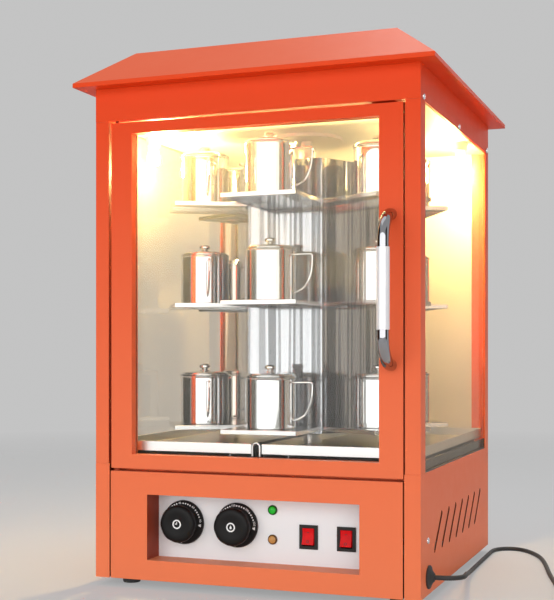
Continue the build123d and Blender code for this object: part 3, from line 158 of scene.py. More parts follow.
class RoasterStage(PropertyGroup):
    """Camera, lights and the colours of the studio."""

    lens: FloatProperty(
        name="Lens", description="Focal length of the camera", unit="CAMERA", default=70.62, min=1
    )
    camera_x: length_of("Camera right", "Distance of the camera to the right", 628.25 * MM)
    camera_y: length_of("Camera back", "Distance of the camera in front", 1815.5 * MM)
    camera_z: length_of("Camera height", "Height of the camera", 353.35 * MM)
    camera_turn: FloatProperty(
        name="Camera turn", description="Heading of the camera", subtype="ANGLE", default=math.radians(20.543)
    )
    camera_rise: FloatProperty(name="View rise", description="Upward shift of the view", default=50 / 600)
    floor: colour_of("Floor", "Colour of the floor", (0.72, 0.72, 0.72))
    backdrop: colour_of("Backdrop", "Colour of what is seen behind the roaster", (0.55, 0.55, 0.55))
    ambient: FloatProperty(
        name="Ambient", description="Strength of the light from all round", default=0.28, min=0
    )
    key: power_of("Key light", "Power of the large front light", 78)
    low: power_of("Low light", "Power of each light low down", 3)
    overhead: power_of("Overhead light", "Power of the light above the roof", 8)
    sheen: power_of("Sheen light", "Power of the light behind and above the roof", 25)
    rim: power_of("Rim light", "Power of the light behind on the right", 7)
    left_lamp: power_of("Left lamp", "Power of the left chamber lamp", 13)
    right_lamp: power_of("Right lamp", "Power of the right chamber lamp", 8)
    head: power_of("Chamber head", "Power of the glow under the ceiling", 0.4)


# Shader maths
class Value:
    """A shader socket that takes part in plain arithmetic."""

    def __init__(self, shading, socket):
        self.shading = shading
        self.socket = socket

    def _maths(self, operation, first, second):
        return self.shading.node("ShaderNodeMath", {"operation": operation}, {0: first, 1: second})

    def __add__(self, other):
        return self._maths("ADD", self, other)

    __radd__ = __add__

    def __sub__(self, other):
        return self._maths("SUBTRACT", self, other)

    def __rsub__(self, other):
        return self._maths("SUBTRACT", other, self)

    def __mul__(self, other):
        return self._maths("MULTIPLY", self, other)

    __rmul__ = __mul__

    def __truediv__(self, other):
        return self._maths("DIVIDE", self, other)

    def __rtruediv__(self, other):
        return self._maths("DIVIDE", other, self)


class Shading:
    """The nodes of one material or world."""

    def __init__(self, owner):
        owner.use_nodes = True
        self.owner = owner
        self.tree = owner.node_tree
        self.tree.nodes.clear()

    def node(self, kind, settings=None, inputs=None, out=0):
        """Add a node, set it up, feed its sockets and hand back one of its outputs."""
        made = self.tree.nodes.new(kind)
        for key, value in (settings or {}).items():
            if key == "stops":
                self._stops(made.color_ramp, value)
            else:
                setattr(made, key, value)
        for key, value in (inputs or {}).items():
            if isinstance(value, Value):
                self.tree.links.new(value.socket, made.inputs[key])
            else:
                made.inputs[key].default_value = value
        return Value(self, made.outputs[out]) if len(made.outputs) else None

    @staticmethod
    def _stops(ramp, stops):
        while len(ramp.elements) < len(stops):
            ramp.elements.new(0.5)
        for element, (place, colour) in zip(ramp.elements, stops):
            element.position = place
            element.color = colour

    def place(self):
        return self.node("ShaderNodeTexCoord", out="Object")

    def axis(self, name, of=None):
        """One axis of a direction, or of the place on the piece."""
        return self.node("ShaderNodeSeparateXYZ", {}, {"Vector": of or self.place()}, name)

    def stretched(self, scale):
        return self.node("ShaderNodeMapping", {}, {"Vector": self.place(), "Scale": scale})

    def noise(self, scale, detail=2.0, rough=0.5, at=None):
        inputs = {"Vector": at or self.place(), "Scale": scale, "Detail": detail, "Roughness": rough}
        return self.node("ShaderNodeTexNoise", {}, inputs, "Fac")

    def bump(self, height, depth, strength):
        inputs = {"Height": height, "Distance": depth, "Strength": strength}
        return self.node("ShaderNodeBump", {}, inputs)

    def clamped(self, value):
        return self.node("ShaderNodeClamp", {}, {0: value})

    def blend(self, factor, first, second):
        """Colour between two others."""
        return self.node("ShaderNodeMix", {"data_type": "RGBA"}, {0: factor, 6: first, 7: second}, 2)

    def toned(self, factor, colour, least, most):
        """Colour between a darker and a lighter tone of itself."""
        return self.blend(factor, rgba(colour, least), rgba(colour, most))

    def mixed(self, factor, first, second):
        return self.node("ShaderNodeMixShader", {}, {0: factor, 1: first, 2: second})

    def coloured(self, kind, colour, **more):
        """Plain shader of one colour."""
        return self.node(kind, {}, {"Color": rgba(colour), **more})

    def seen(self):
        """1 for rays that end in the picture, straight or by way of metal or glass."""
        kinds = ("Is Camera Ray", "Is Glossy Ray", "Is Transmission Ray")
        camera, glossy, through = [self.node("ShaderNodeLightPath", out=kind) for kind in kinds]
        return camera + glossy + through

    def done(self, shader, output="ShaderNodeOutputMaterial"):
        self.node(output, {}, {"Surface": shader})
        return self.owner

    def principled(self, **inputs):
        named = {key.replace("_", " "): value for key, value in inputs.items()}
        return self.done(self.node("ShaderNodeBsdfPrincipled", {}, named))


def new_finish(name):
    return Shading(bpy.data.materials.new(name))


def rgba(colour, gain=1.0):
    return (*[min(1.0, c * gain) for c in colour], 1.0)


# Finishes
# Pale tone on upward faces, standing for dust and a painted sheen.
PAINT_DUST_AND_SHEEN = (0.86, 0.42, 0.22)
PANE_FILM = (0.95, 0.91, 0.76)
PANE_MIRROR = (0.95, 0.97, 0.96)
PANE_IOR = 1.42
HOT_FILAMENT = (1.0, 0.97, 0.88)
# Painted reflections: gains on the colour that make upright light and dark bands.
PAINTED_REFLECTION_BANDS = (
    (0.0, 0.75), (0.36, 0.75), (0.375, 0.28), (0.43, 0.32), (0.44, 0.92), (0.50, 0.80),
    (0.515, 0.42), (0.58, 0.48), (0.59, 0.95), (0.64, 0.85), (0.655, 0.24), (1.0, 0.3),
)
GRAIN_UPRIGHT = (6, 6, 900)
GRAIN_ACROSS = (900, 6, 6)
GRAIN_ROUND = (900, 900, 6)
GRAIN_EVEN = (300, 300, 300)
GRAIN_PIN = (300, 6, 300)
BUFFED_RINGS = (25, 25, 1800)
REFLECTION_BAND_STRETCH = (34, 34, 0.25)
ROLLED_FINE = (220, 220, 1.5)


def uneven(value):
    """Share that drifts about one."""
    return 0.7 + 0.6 * value


def powder_coat(name, colour, sheen_colour):
    """Fine orange-peel paint with a painted sheen: paler towards the floor, paler on top from dust and sheen,
    and drifting a little in tone.
    """
    finish = new_finish(name)
    peel = finish.noise(700, 3.0)
    drift = finish.noise(6)
    height = finish.clamped(finish.axis("Z") / HIGH.z + 0.08 * (drift - 0.5))
    upward = finish.axis("Z", finish.node("ShaderNodeNewGeometry", out="Normal"))
    # Dust and a painted sheen: faces that look upward turn paler.
    dust = finish.clamped(0.24 * upward * uneven(drift))
    # Painted sheen: the coat turns paler towards the floor.
    coat = finish.blend(height, rgba(sheen_colour), rgba(colour))
    return finish.principled(
        Base_Color=finish.blend(dust, coat, rgba(PAINT_DUST_AND_SHEEN)),
        Roughness=0.38 + 0.10 * finish.noise(40),
        Specular_IOR_Level=0.12,
        Normal=finish.bump(peel, 0.04 * MM, 0.35),
    )


def mirror_steel(name, colour):
    """Polished sheet with the faint rings of buffing."""
    finish = new_finish(name)
    rings = finish.noise(1.0, 3.0, 0.6, finish.stretched(BUFFED_RINGS))
    smear = finish.noise(35, 3.0)
    return finish.principled(
        Base_Color=finish.toned(smear, colour, 0.95, 1.04),
        Metallic=1.0,
        Roughness=0.02 + 0.04 * smear + 0.02 * rings,
        Normal=finish.bump(rings, 0.006 * MM, 0.2),
    )


def reflection_banded_steel(name, colour):
    """Polished sheet with painted reflections: upright light and dark bands in its colour."""
    finish = new_finish(name)
    wide = finish.noise(1.0, 0.0, 0.5, finish.stretched(REFLECTION_BAND_STRETCH))
    fine = finish.noise(1.0, 3.0, 0.6, finish.stretched(ROLLED_FINE))
    stops = [(at, rgba(colour, gain)) for at, gain in PAINTED_REFLECTION_BANDS]
    # Painted reflections: light and dark bands laid into the base colour.
    painted_reflections = finish.node("ShaderNodeValToRGB", {"stops": stops}, {"Fac": wide})
    return finish.principled(
        Base_Color=finish.blend(0.14 * fine, painted_reflections, rgba(colour, 0.3)),
        Metallic=0.82,
        Roughness=0.05 + 0.06 * fine,
        Normal=finish.bump(wide, 0.8 * MM, 0.5),
    )


def satin_steel(name, colour, rough, along=GRAIN_UPRIGHT, metal=1.0):
    """Sheet with a straight ground grain."""
    finish = new_finish(name)
    grain = finish.noise(1.0, 4.0, 0.65, finish.stretched(along))
    cloud = finish.noise(9, 3.0)
    return finish.principled(
        Base_Color=finish.toned(cloud, colour, 0.92, 1.05),
        Metallic=metal,
        Roughness=rough + 0.10 * grain + 0.06 * cloud,
        Normal=finish.bump(grain, 0.02 * MM, 0.3),
    )


def galvanised(name, colour):
    """Zinc spangle."""
    finish = new_finish(name)
    inputs = {"Vector": finish.place(), "Scale": 120.0}
    spangle = finish.node("ShaderNodeTexVoronoi", {}, inputs, "Color")
    tone = finish.node("ShaderNodeRGBToBW", {}, {"Color": spangle})
    return finish.principled(
        Base_Color=finish.toned(tone, colour, 0.8, 1.15),
        Metallic=0.9,
        Roughness=0.35 + 0.2 * tone,
        Normal=finish.bump(tone, 0.02 * MM, 0.2),
    )


def clear_pane(name, tint, film, mirroring):
    """Clear flat glass that mirrors more at a slant, under a film that thickens towards the top."""
    finish = new_finish(name)
    slant = finish.node("ShaderNodeFresnel", {}, {"IOR": PANE_IOR})
    smear = finish.noise(14, 3.0)
    rise = finish.clamped(finish.axis("Z") / HIGH.z)
    clear = finish.coloured("ShaderNodeBsdfTransparent", tint)
    mirror = finish.coloured("ShaderNodeBsdfGlossy", PANE_MIRROR, Roughness=0.02)
    front_dust = finish.coloured("ShaderNodeBsdfDiffuse", PANE_FILM)
    back_dust = finish.coloured("ShaderNodeBsdfTranslucent", PANE_FILM)
    dust = finish.mixed(0.6, front_dust, back_dust)
    pane = finish.mixed(slant * (mirroring + 0.08 * smear), clear, mirror)
    return finish.done(finish.mixed(film * rise * rise * uneven(smear), pane, dust))


def lit_glass(name, colour, strength):
    """Bulb that shines, brighter in its middle."""
    finish = new_finish(name)
    facing = finish.node("ShaderNodeLayerWeight", {}, {"Blend": 0.35}, "Facing")
    return finish.principled(
        Base_Color=rgba(colour),
        Roughness=0.15,
        Emission_Color=finish.blend(facing, rgba(HOT_FILAMENT), rgba(colour)),
        Emission_Strength=strength,
    )


def tinted_lens(name, colour, glow, coat=0.25, gloss=0.25):
    """Coloured moulded lens with a clear skin, lit a little from behind."""
    finish = new_finish(name)
    ripple = finish.noise(420)
    cloud = finish.noise(150)
    return finish.principled(
        Base_Color=finish.toned(cloud, colour, 0.8, 1.25),
        Roughness=0.2 + 0.1 * cloud,
        Coat_Weight=coat,
        Coat_Roughness=0.06,
        Specular_IOR_Level=gloss,
        Emission_Color=rgba(colour),
        Emission_Strength=glow,
        Normal=finish.bump(ripple, 0.05 * MM, 0.3),
    )


def moulded(name, colour, rough, grain=900, depth=0.04 * MM, gloss=0.5):
    """Moulded plastic with a fine spark-eroded texture."""
    finish = new_finish(name)
    texture = finish.noise(grain, 3.0)
    cloud = finish.noise(20)
    return finish.principled(
        Base_Color=finish.toned(cloud, colour, 0.85, 1.2),
        Roughness=rough + 0.12 * cloud,
        Specular_IOR_Level=gloss,
        Normal=finish.bump(texture, depth, 0.4),
    )


def rubber(name, colour):
    """Dull rubber with a bloom."""
    finish = new_finish(name)
    bloom = finish.noise(30, 4.0, 0.6)
    texture = finish.noise(1400)
    return finish.principled(
        Base_Color=finish.toned(bloom, colour, 0.8, 1.7),
        Roughness=0.5 + 0.18 * bloom,
        Normal=finish.bump(texture, 0.03 * MM, 0.35),
    )


def glazed(name, colour, rough):
    """Glazed ceramic or enamel with a slow ripple."""
    finish = new_finish(name)
    ripple = finish.noise(60)
    speck = finish.noise(8, 3.0)
    return finish.principled(
        Base_Color=finish.toned(speck, colour, 0.97, 1.02),
        Roughness=rough + 0.08 * speck,
        Coat_Weight=0.3,
        Coat_Roughness=0.1,
        Normal=finish.bump(ripple, 0.05 * MM, 0.15),
    )


FINISHES = {}


def make_finishes(colours):
    """Every finish of the roaster, by a maker's name."""
    FINISHES.update(
        paint=powder_coat("orange_powder_coat", colours.paint, colours.paint_sheen_low),
        # Painted shade: a darkened coat for the window's sides, the door jambs and the hinge pins.
        inner_paint=powder_coat("inner_powder_coat", (0.26, 0.03, 0.012), (0.30, 0.045, 0.018)),
        # Painted shade: near-black edges inside the louvre slots.
        cut_edge=moulded("cut_edge", (0.035, 0.006, 0.003), 0.7),
        mirror=mirror_steel("mirror_steel", colours.steel),
        # The drum and the duct carry painted reflections: upright light and dark bands in their colour.
        drum=reflection_banded_steel("rolled_drum_steel", (0.60, 0.605, 0.63)),
        duct=reflection_banded_steel("tinted_duct_steel", (0.52, 0.42, 0.33)),
        chrome=mirror_steel("bright_chrome", (0.80, 0.80, 0.82)),
        # Painted shade: the bow's chrome is darkened to stand in for dark reflections around it.
        bow=mirror_steel("dark_chrome", (0.40, 0.40, 0.42)),
        sleeve=satin_steel("brushed_sleeve", (0.88, 0.87, 0.89), 0.22, GRAIN_ROUND, 0.25),
        satin=satin_steel("satin_lining", colours.satin, 0.42, metal=0.35),
        back=satin_steel("satin_back", (0.79, 0.79, 0.80), 0.42, metal=0.25),
        floor_pan=satin_steel("dull_floor_pan", (0.17, 0.175, 0.185), 0.42),
        tray=satin_steel("tray_steel", colours.steel, 0.10, GRAIN_ACROSS),
        pan=satin_steel("pan_steel", (0.84, 0.84, 0.83), 0.22, GRAIN_ACROSS),
        zinc=galvanised("galvanised_sheet", (0.52, 0.53, 0.54)),
        pane=clear_pane("clear_pane", (0.98, 0.985, 0.98), 0.11, 0.36),
        side_pane=clear_pane("smoked_pane", (0.94, 0.88, 0.81), 0.07, 0.14),
        bulb=lit_glass("lit_bulb", colours.glow, 12.0),
        green=tinted_lens("green_lens", (0.012, 0.36, 0.022), 0.35),
        amber=tinted_lens("amber_lens", (0.50, 0.25, 0.07), 0.08),
        green_rim=tinted_lens("green_rim", (0.004, 0.075, 0.006), 0.02),
        amber_rim=tinted_lens("amber_rim", (0.12, 0.055, 0.016), 0.0),
        rocker=tinted_lens("lit_rocker", colours.rocker, 0.16, 0.02, 0.1),
        enamel=glazed("panel_enamel", colours.enamel, 0.3),
        ceramic=glazed("lamp_ceramic", (0.8, 0.78, 0.72), 0.25),
        dial=moulded("dial_thermoset", colours.dial, 0.4, gloss=0.2),
        case=moulded("switch_case", (0.018, 0.018, 0.017), 0.4, gloss=0.25),
        mark=moulded("dial_marks", (0.92, 0.92, 0.91), 0.5),
        dark_mark=moulded("rocker_marks", (0.05, 0.01, 0.01), 0.5),
        plug=moulded("plug_moulding", (0.018, 0.018, 0.019), 0.38, 600),
        tie=moulded("tie_plastic", (0.03, 0.03, 0.03), 0.45),
        motor=moulded("motor_casting", (0.35, 0.35, 0.36), 0.5, 300, 0.2 * MM),
        lead=rubber("lead_rubber", colours.rubber),
        foot=rubber("foot_rubber", (0.025, 0.025, 0.025)),
        seal=rubber("seal_silicone", (0.09, 0.088, 0.085)),
        element=satin_steel("element_sheath", (0.2, 0.18, 0.17), 0.45, GRAIN_EVEN),
        brass=satin_steel("bare_brass", (0.72, 0.52, 0.2), 0.25, GRAIN_PIN),
    )


FINISH_NODES = {
    "paint": (
        "base_panels", "base_fascia", "corner_posts", "headers", "roof", "door_frame", "door_back_frame"
    ),
    # The hinge pins take the darkened coat as painted shade, so the gap under the door reads dark.
    "inner_paint": ("hinge_pins",),
    "mirror": (
        "drum_ends", "carousel_shaft", "mugs_lower", "mugs_middle", "mugs_upper", "lids",
        "lid_front_lower", "lid_front_middle", "lid_front_upper",
    ),
    "drum": ("drum",),
    "chrome": ("casing_screws", "door_handle"),
    "satin": ("ceiling_plate", "lower_bearing", "upper_bearing"),
    "back": ("rear_panel",),
    "floor_pan": ("chamber_floor",),
    "tray": ("trays",),
    "pan": ("left_drip_pan", "right_drip_pan"),
    "zinc": ("base_plate", "heater_clips", "pan_rails", "motor_bracket", "drive_coupling", "door_strike"),
    "pane": ("door_glass",),
    "side_pane": ("side_glasses",),
    "bulb": ("lamps",),
    "green": ("indicator_green",),
    "amber": ("indicator_amber",),
    "rocker": ("rocker_left", "rocker_right"),
    "enamel": ("control_panel",),
    "ceramic": ("lamp_holders", "terminal_block"),
    "dial": ("knob_left", "knob_right"),
    "case": ("pan_clip", "magnetic_catch", "thermostats", "switch_bodies"),
    "plug": ("mains_plug",),
    "tie": ("cord_tie",),
    "motor": ("gear_motor",),
    "lead": ("cord_gland", "mains_cord", "cord_coil"),
    "foot": ("feet",),
    "seal": ("door_seal",),
    "element": ("heaters",),
    "brass": ("plug_pins",),
}
NODE_FINISH = {node: finish for finish, nodes in FINISH_NODES.items() for node in nodes}


# Mesh helpers
SMOOTH_DEGREES = 35
WELD = 2e-6
SEAM = 1e-7
POINTED = 1e-6
FLUSH_DEGREES = 1.0
FOLD_DEGREES = 28
FLAT_SHEET_AREA = 0.0002


def in_mm(points):
    """Points in metres, from points in millimetres."""
    return [tuple(part * MM for part in point) for point in points]


def at_mm(x, y, z):
    """Place given in millimetres from the cabinet's middle."""
    return Vector((x * MM, y * MM + AXIS_Y, z * MM))


def facing_front(at):
    """Frame whose Z points out of the front, X to the right and Y up."""
    return Matrix.Translation(at) @ Matrix.Rotation(math.pi / 2, 4, "X")


def spun_about(direction, degrees):
    return Matrix.Rotation(math.radians(degrees), 4, direction)


def add_to_scene(piece):
    bpy.context.scene.collection.objects.link(piece)
    return piece


def smooth_by_angle(mesh, degrees=SMOOTH_DEGREES):
    """Smooth shading with sharp edges where the surface turns."""
    mesh.shade_smooth()
    mesh.set_sharp_from_angle(angle=math.radians(degrees))


def lay_finish(mesh, finish):
    mesh.materials.clear()
    mesh.materials.append(FINISHES[finish])


def bm_to_mesh(bm, name, degrees=SMOOTH_DEGREES):
    bmesh.ops.recalc_face_normals(bm, faces=bm.faces)
    mesh = bpy.data.meshes.new(name)
    bm.to_mesh(mesh)
    bm.free()
    smooth_by_angle(mesh, degrees)
    return mesh


def new_piece(bm, name, body, finish, degrees=SMOOTH_DEGREES):
    """Put a mesh in the scene, riding on a body, with its finish."""
    mesh = bm_to_mesh(bm, name, degrees)
    lay_finish(mesh, finish)
    piece = add_to_scene(bpy.data.objects.new(name, mesh))
    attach(piece, body)
    return piece


def circle(steps):
    """Turns of evenly spaced corners round a circle."""
    return [2 * math.pi * k / steps for k in range(steps)]


def skin(bm, rings):
    """Faces between rings of corners, where a ring of one corner closes to a point."""
    for low, high in zip(rings, rings[1:]):
        steps = max(len(low), len(high))
        for k in range(steps):
            following = (k + 1) % steps
            if len(low) == 1:
                bm.faces.new((low[0], high[following], high[k]))
            elif len(high) == 1:
                bm.faces.new((low[k], low[following], high[0]))
            else:
                bm.faces.new((low[k], low[following], high[following], high[k]))


def close_ends(bm, rings):
    bm.faces.new(list(reversed(rings[0])))
    bm.faces.new(rings[-1])


def spun_mesh(bm, outline, steps, place=Matrix(), lobes=None):
    """Surface of revolution about the place's Z from (radius, height) points, lobed if asked."""
    rings = []
    for radius, height in outline:
        ring = []
        for turn in circle(steps) if radius > POINTED else [0.0]:
            reach = radius * lobes(turn, radius, height) if lobes else radius
            corner = Vector((reach * math.cos(turn), reach * math.sin(turn), height))
            ring.append(bm.verts.new(place @ corner))
        rings.append(ring)
    skin(bm, rings)


def ring_mesh(bm, outline, steps, place=Matrix()):
    """Closed ring about the place's Z whose section is the outline."""
    first = len(bm.verts)
    spun_mesh(bm, [*outline, outline[0]], steps, place)
    bm.verts.ensure_lookup_table()
    bmesh.ops.remove_doubles(bm, verts=bm.verts[first:], dist=SEAM)


def tube_mesh(bm, points, radius, sides, place=Matrix()):
    """Round tube along points, with closed ends."""
    rings = []
    side = None
    for i, point in enumerate(points):
        before = points[max(i - 1, 0)]
        after = points[min(i + 1, len(points) - 1)]
        along = (after - before).normalized()
        if side is None:
            side = along.orthogonal().normalized()
        side = (side - along * side.dot(along)).normalized()
        up = along.cross(side)
        corners = [point + radius * (math.cos(turn) * side + math.sin(turn) * up) for turn in circle(sides)]
        rings.append([bm.verts.new(place @ corner) for corner in corners])
    skin(bm, rings)
    close_ends(bm, rings)


def slab_mesh(bm, corners, thickness, place=Matrix()):
    """Flat plate from corners in the place's XY plane, standing up from it."""
    rings = [[bm.verts.new(place @ Vector((x, y, z))) for x, y in corners] for z in (0, thickness)]
    close_ends(bm, rings)
    skin(bm, rings)


def mesh_of(curve):
    """Mesh of a curve or text, which is taken away again."""
    holder = bpy.data.objects.new(curve.name, curve)
    mesh = bpy.data.meshes.new_from_object(holder)
    bpy.data.objects.remove(holder)
    bpy.data.curves.remove(curve)
    return mesh


def numeral_mesh(bm, text, size, thickness, place):
    """Number in the plain built-in face, standing up from the place's XY plane."""
    curve = bpy.data.curves.new("numeral", "FONT")
    curve.body = text
    curve.size = size
    curve.align_x = "CENTER"
    curve.align_y = "CENTER"
    curve.resolution_u = 3
    curve.extrude = thickness / 2
    mesh = mesh_of(curve)
    mesh.transform(place @ Matrix.Translation((0, 0, thickness / 2)))
    bm.from_mesh(mesh)
    bpy.data.meshes.remove(mesh)


def smooth_curve(name, points, steps):
    """Smooth open curve led by control points."""
    curve = bpy.data.curves.new(name, "CURVE")
    curve.dimensions = "3D"
    curve.resolution_u = steps
    spline = curve.splines.new("NURBS")
    spline.points.add(len(points) - 1)
    for point, place in zip(spline.points, points):
        point.co = (*place, 1)
    spline.order_u = 3
    spline.use_endpoint_u = True
    return curve


def spline_points(points, steps):
    """Points along a smooth curve led by control points."""
    mesh = mesh_of(smooth_curve("guide", points, steps))
    line = [vertex.co.copy() for vertex in mesh.vertices]
    bpy.data.meshes.remove(mesh)
    return line


def solid_copy(node):
    """Welded mesh of a solid."""
    bm = bmesh.new()
    bm.from_mesh(NODES[node].data)
    bmesh.ops.remove_doubles(bm, verts=bm.verts, dist=WELD)
    return bm


def loose_boxes(node):
    """Lowest and highest corner of each separate solid of a node."""
    bm = solid_copy(node)
    left = set(bm.verts)
    boxes = []
    while left:
        heap = [left.pop()]
        corners = []
        while heap:
            vertex = heap.pop()
            corners.append(vertex.co.copy())
            for edge in vertex.link_edges:
                other = edge.other_vert(vertex)
                if other in left:
                    left.remove(other)
                    heap.append(other)
        low = Vector([min(c[i] for c in corners) for i in range(3)])
        high = Vector([max(c[i] for c in corners) for i in range(3)])
        boxes.append((low, high))
    bm.free()
    return sorted(boxes, key=lambda pair: tuple(round(v, 6) for v in pair[0]))


def round_edges(bm, edges, width, segments):
    bmesh.ops.bevel(
        bm, geom=edges, offset=width, segments=segments, profile=0.5, affect="EDGES", clamp_overlap=True
    )


def rounded_copy(node, width, segments=2):
    """Copy of a solid with its sharp edges rounded and its sheets flat, in place of the solid."""
    bm = solid_copy(node)
    bmesh.ops.dissolve_limit(
        bm, angle_limit=math.radians(FLUSH_DEGREES), verts=bm.verts, edges=bm.edges,
        use_dissolve_boundaries=False,
    )
    fold = math.radians(FOLD_DEGREES)
    round_edges(bm, [e for e in bm.edges if e.is_manifold and e.calc_face_angle(0) > fold], width, segments)
    piece = new_piece(bm, node + "_rounded", NODES[node]["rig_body"], NODE_FINISH[node])
    for face in piece.data.polygons:
        face.use_smooth = face.area < FLAT_SHEET_AREA
    even = piece.modifiers.new("even_shading", "WEIGHTED_NORMAL")
    even.weight = 100
    even.keep_sharp = True
    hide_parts(node)
    return piece


def recoat(piece, finish, chosen):
    """Lay a second finish on the chosen faces of a piece."""
    piece.data.materials.append(FINISHES[finish])
    for face in piece.data.polygons:
        if chosen(face.center, face.normal):
            face.material_index = 1


# Pieces
class ROASTER_OT_finishes(Operator):
    """Make the finishes and lay them on the solids of the frame"""

    bl_idname = "roaster.finishes"
    bl_label = "Finishes"

    def execute(self, context):
        make_finishes(context.scene.roaster_finish)
        for node, finish in NODE_FINISH.items():
            lay_finish(NODES[node].data, finish)
            smooth_by_angle(NODES[node].data)
        return {"FINISHED"}


class ROASTER_OT_sheets(Operator):
    """Round the folds of the painted and steel sheets, and fit the trim that is fixed to them"""

    bl_idname = "roaster.sheets"
    bl_label = "Folded sheets"

    painted = ("base_panels", "base_fascia", "corner_posts", "headers", "roof", "door_frame")
    steel = ("trays", "left_drip_pan", "right_drip_pan", "control_panel")
    steel_share = 0.5
    foot_round = 1.2 * MM
    bezel_round = 0.5 * MM
    bezel_wider = 1.5 * MM
    bezel_taller = 0.5 * MM
    bezel_proud = 0.1 * MM
    bezel_reach = 15 * MM
    bezel_side = 11.2 * MM
    bezel_end = 15.6 * MM
    loop_radius = 5.6 * MM
    loop_wire = 1.6 * MM
    loop_sunk = 0.15 * MM
    loop_foot = 14.5 * MM
    loop_drop = 2.2 * MM
    loop_steps = 12
    loop_sides = 12
    leg_width = 23 * MM
    leg_sheet = 0.7 * MM
    leg_gap = 0.3 * MM
    duct_width = 29 * MM
    duct_depth = 16 * MM
    duct_gap = 0.1 * MM
    strip_share = 0.2
    jamb_depth = 24 * MM
    jamb_reach = 232 * MM
    window_reach = 2 * MM
    slot_heights = (60 * MM, 125 * MM)
    slot_run = 210 * MM
    slot_depth = 247.4 * MM
    sideways = 0.7
    edgewise = 0.3

    def execute(self, context):
        width = context.scene.roaster_sizes.fold_round
        recoats = {
            # Painted shade: dark edges inside the louvre slots.
            "base_panels": ("cut_edge", self.shaded_slot_edge),
            # Painted shade: a darkened coat on the window's sides and on the door jambs.
            "base_fascia": ("inner_paint", self.shaded_window_return),
            "corner_posts": ("inner_paint", self.shaded_jamb),
        }
        for node in self.painted:
            piece = rounded_copy(node, width)
            if node in recoats:
                recoat(piece, *recoats[node])
        for node in self.steel:
            rounded_copy(node, width * self.steel_share, 1)
        rounded_copy("feet", self.foot_round, 3)
        self.widen_bezels(rounded_copy("switch_bodies", self.bezel_round))
        self.clip_loop()
        self.rear_corners()
        return {"FINISHED"}

    def shaded_slot_edge(self, at, facing):
        """Painted shade: the edges inside the punched louvre slots are made near black."""
        low, high = self.slot_heights
        inside = abs(at.y - AXIS_Y) < self.slot_run and abs(at.x) > self.slot_depth
        return inside and low < at.z < high and abs(facing.x) < self.edgewise

    def shaded_window_return(self, at, facing):
        """Painted shade: a darker coat on the folded sides of the control window."""
        beside = abs(at.x) < PANEL_HIGH.x + self.window_reach and abs(facing.x) > self.sideways
        return beside and PANEL_LOW.z < at.z < PANEL_HIGH.z

    def shaded_jamb(self, at, facing):
        """Painted shade: a darker coat on the jambs that face the door's edges."""
        front = at.y < LOW.y + self.jamb_depth and abs(at.x) < self.jamb_reach
        return front and abs(facing.x) > self.sideways and facing.x * at.x < 0

    def widen_bezels(self, piece):
        """Full flanges round the rockers."""
        for side in SIDES:
            middle = middle_of("rocker_" + side)
            for vertex in piece.data.vertices:
                across = vertex.co.x - middle.x
                along = vertex.co.z - middle.z
                if vertex.co.y > PANEL_LOW.y + self.bezel_proud or abs(across) > self.bezel_reach:
                    continue
                if abs(across) > self.bezel_side:
                    vertex.co.x += math.copysign(self.bezel_wider, across)
                if abs(along) > self.bezel_end:
                    vertex.co.z += math.copysign(self.bezel_taller, along)

    def clip_loop(self):
        """Bright wire arch on the front of the pan clip."""
        low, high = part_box("pan_clip")
        x = (low.x + high.x) / 2
        y = low.y - self.loop_wire + self.loop_sunk
        foot = low.z + self.loop_foot
        top = high.z - self.loop_drop
        reach = self.loop_radius
        line = [Vector((x - reach, y, foot))]
        for k in range(self.loop_steps + 1):
            turn = math.pi * (1 - k / self.loop_steps)
            line.append(Vector((x + reach * math.cos(turn), y, top + reach * math.sin(turn))))
        line.append(Vector((x + reach, y, foot)))
        bm = bmesh.new()
        tube_mesh(bm, line, self.loop_wire, self.loop_sides)
        loop = new_piece(bm, "pan_clip_loop", "cabinet", "pan")

    def rear_corners(self):
        """Painted inner leg of the right rear post and the steel wiring duct in the left rear corner."""
        low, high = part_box("rear_panel")
        glass = max(pair[0].x for pair in loose_boxes("side_glasses"))
        leg = (glass - self.leg_width, glass - self.leg_gap)
        duct = (low.x + self.duct_gap, low.x + self.duct_width)
        strips = {
            "rear_post_leg": (leg, self.leg_sheet, "paint", "orange_paint"),
            "wiring_duct": (duct, self.duct_depth, "duct", "satin_steel"),
        }
        place = facing_front(Vector((0, low.y, 0)))
        tall = (high.z - low.z) / 2
        for name, ((near, far), depth, finish, slot) in strips.items():
            bm = bmesh.new()
            corners = [(near, low.z), (far, low.z), (far, high.z), (near, high.z)]
            slab_mesh(bm, corners, depth, place)
            upright = [e for e in bm.edges if abs(e.verts[0].co.z - e.verts[1].co.z) > tall]
            round_edges(bm, upright, depth * self.strip_share, 3)
            new_piece(bm, name, "cabinet", finish)


EAR_REACH = 29.5
EAR_STEPS = 5


def mug_outline(radius, height):
    """Body with a rolled rim and a turned-in base."""
    r = radius / MM
    h = height / MM
    return in_mm((
        (0, 0.5), (r * 0.82, 0.5), (r * 0.86, 0.0), (r - 1.6, 0.0), (r - 0.4, 0.5), (r, 1.8), (r, 2.6),
        (r, h - 5.0), (r, h - 4.2), (r + 0.1, h - 3.0), (r + 0.9, h - 2.4), (r + 1.2, h - 1.3),
        (r + 0.8, h - 0.3), (r - 0.1, h), (r - 1.0, h - 0.6), (r - 1.0, 3.0), (r - 2.5, 1.4), (0, 1.3),
    ))


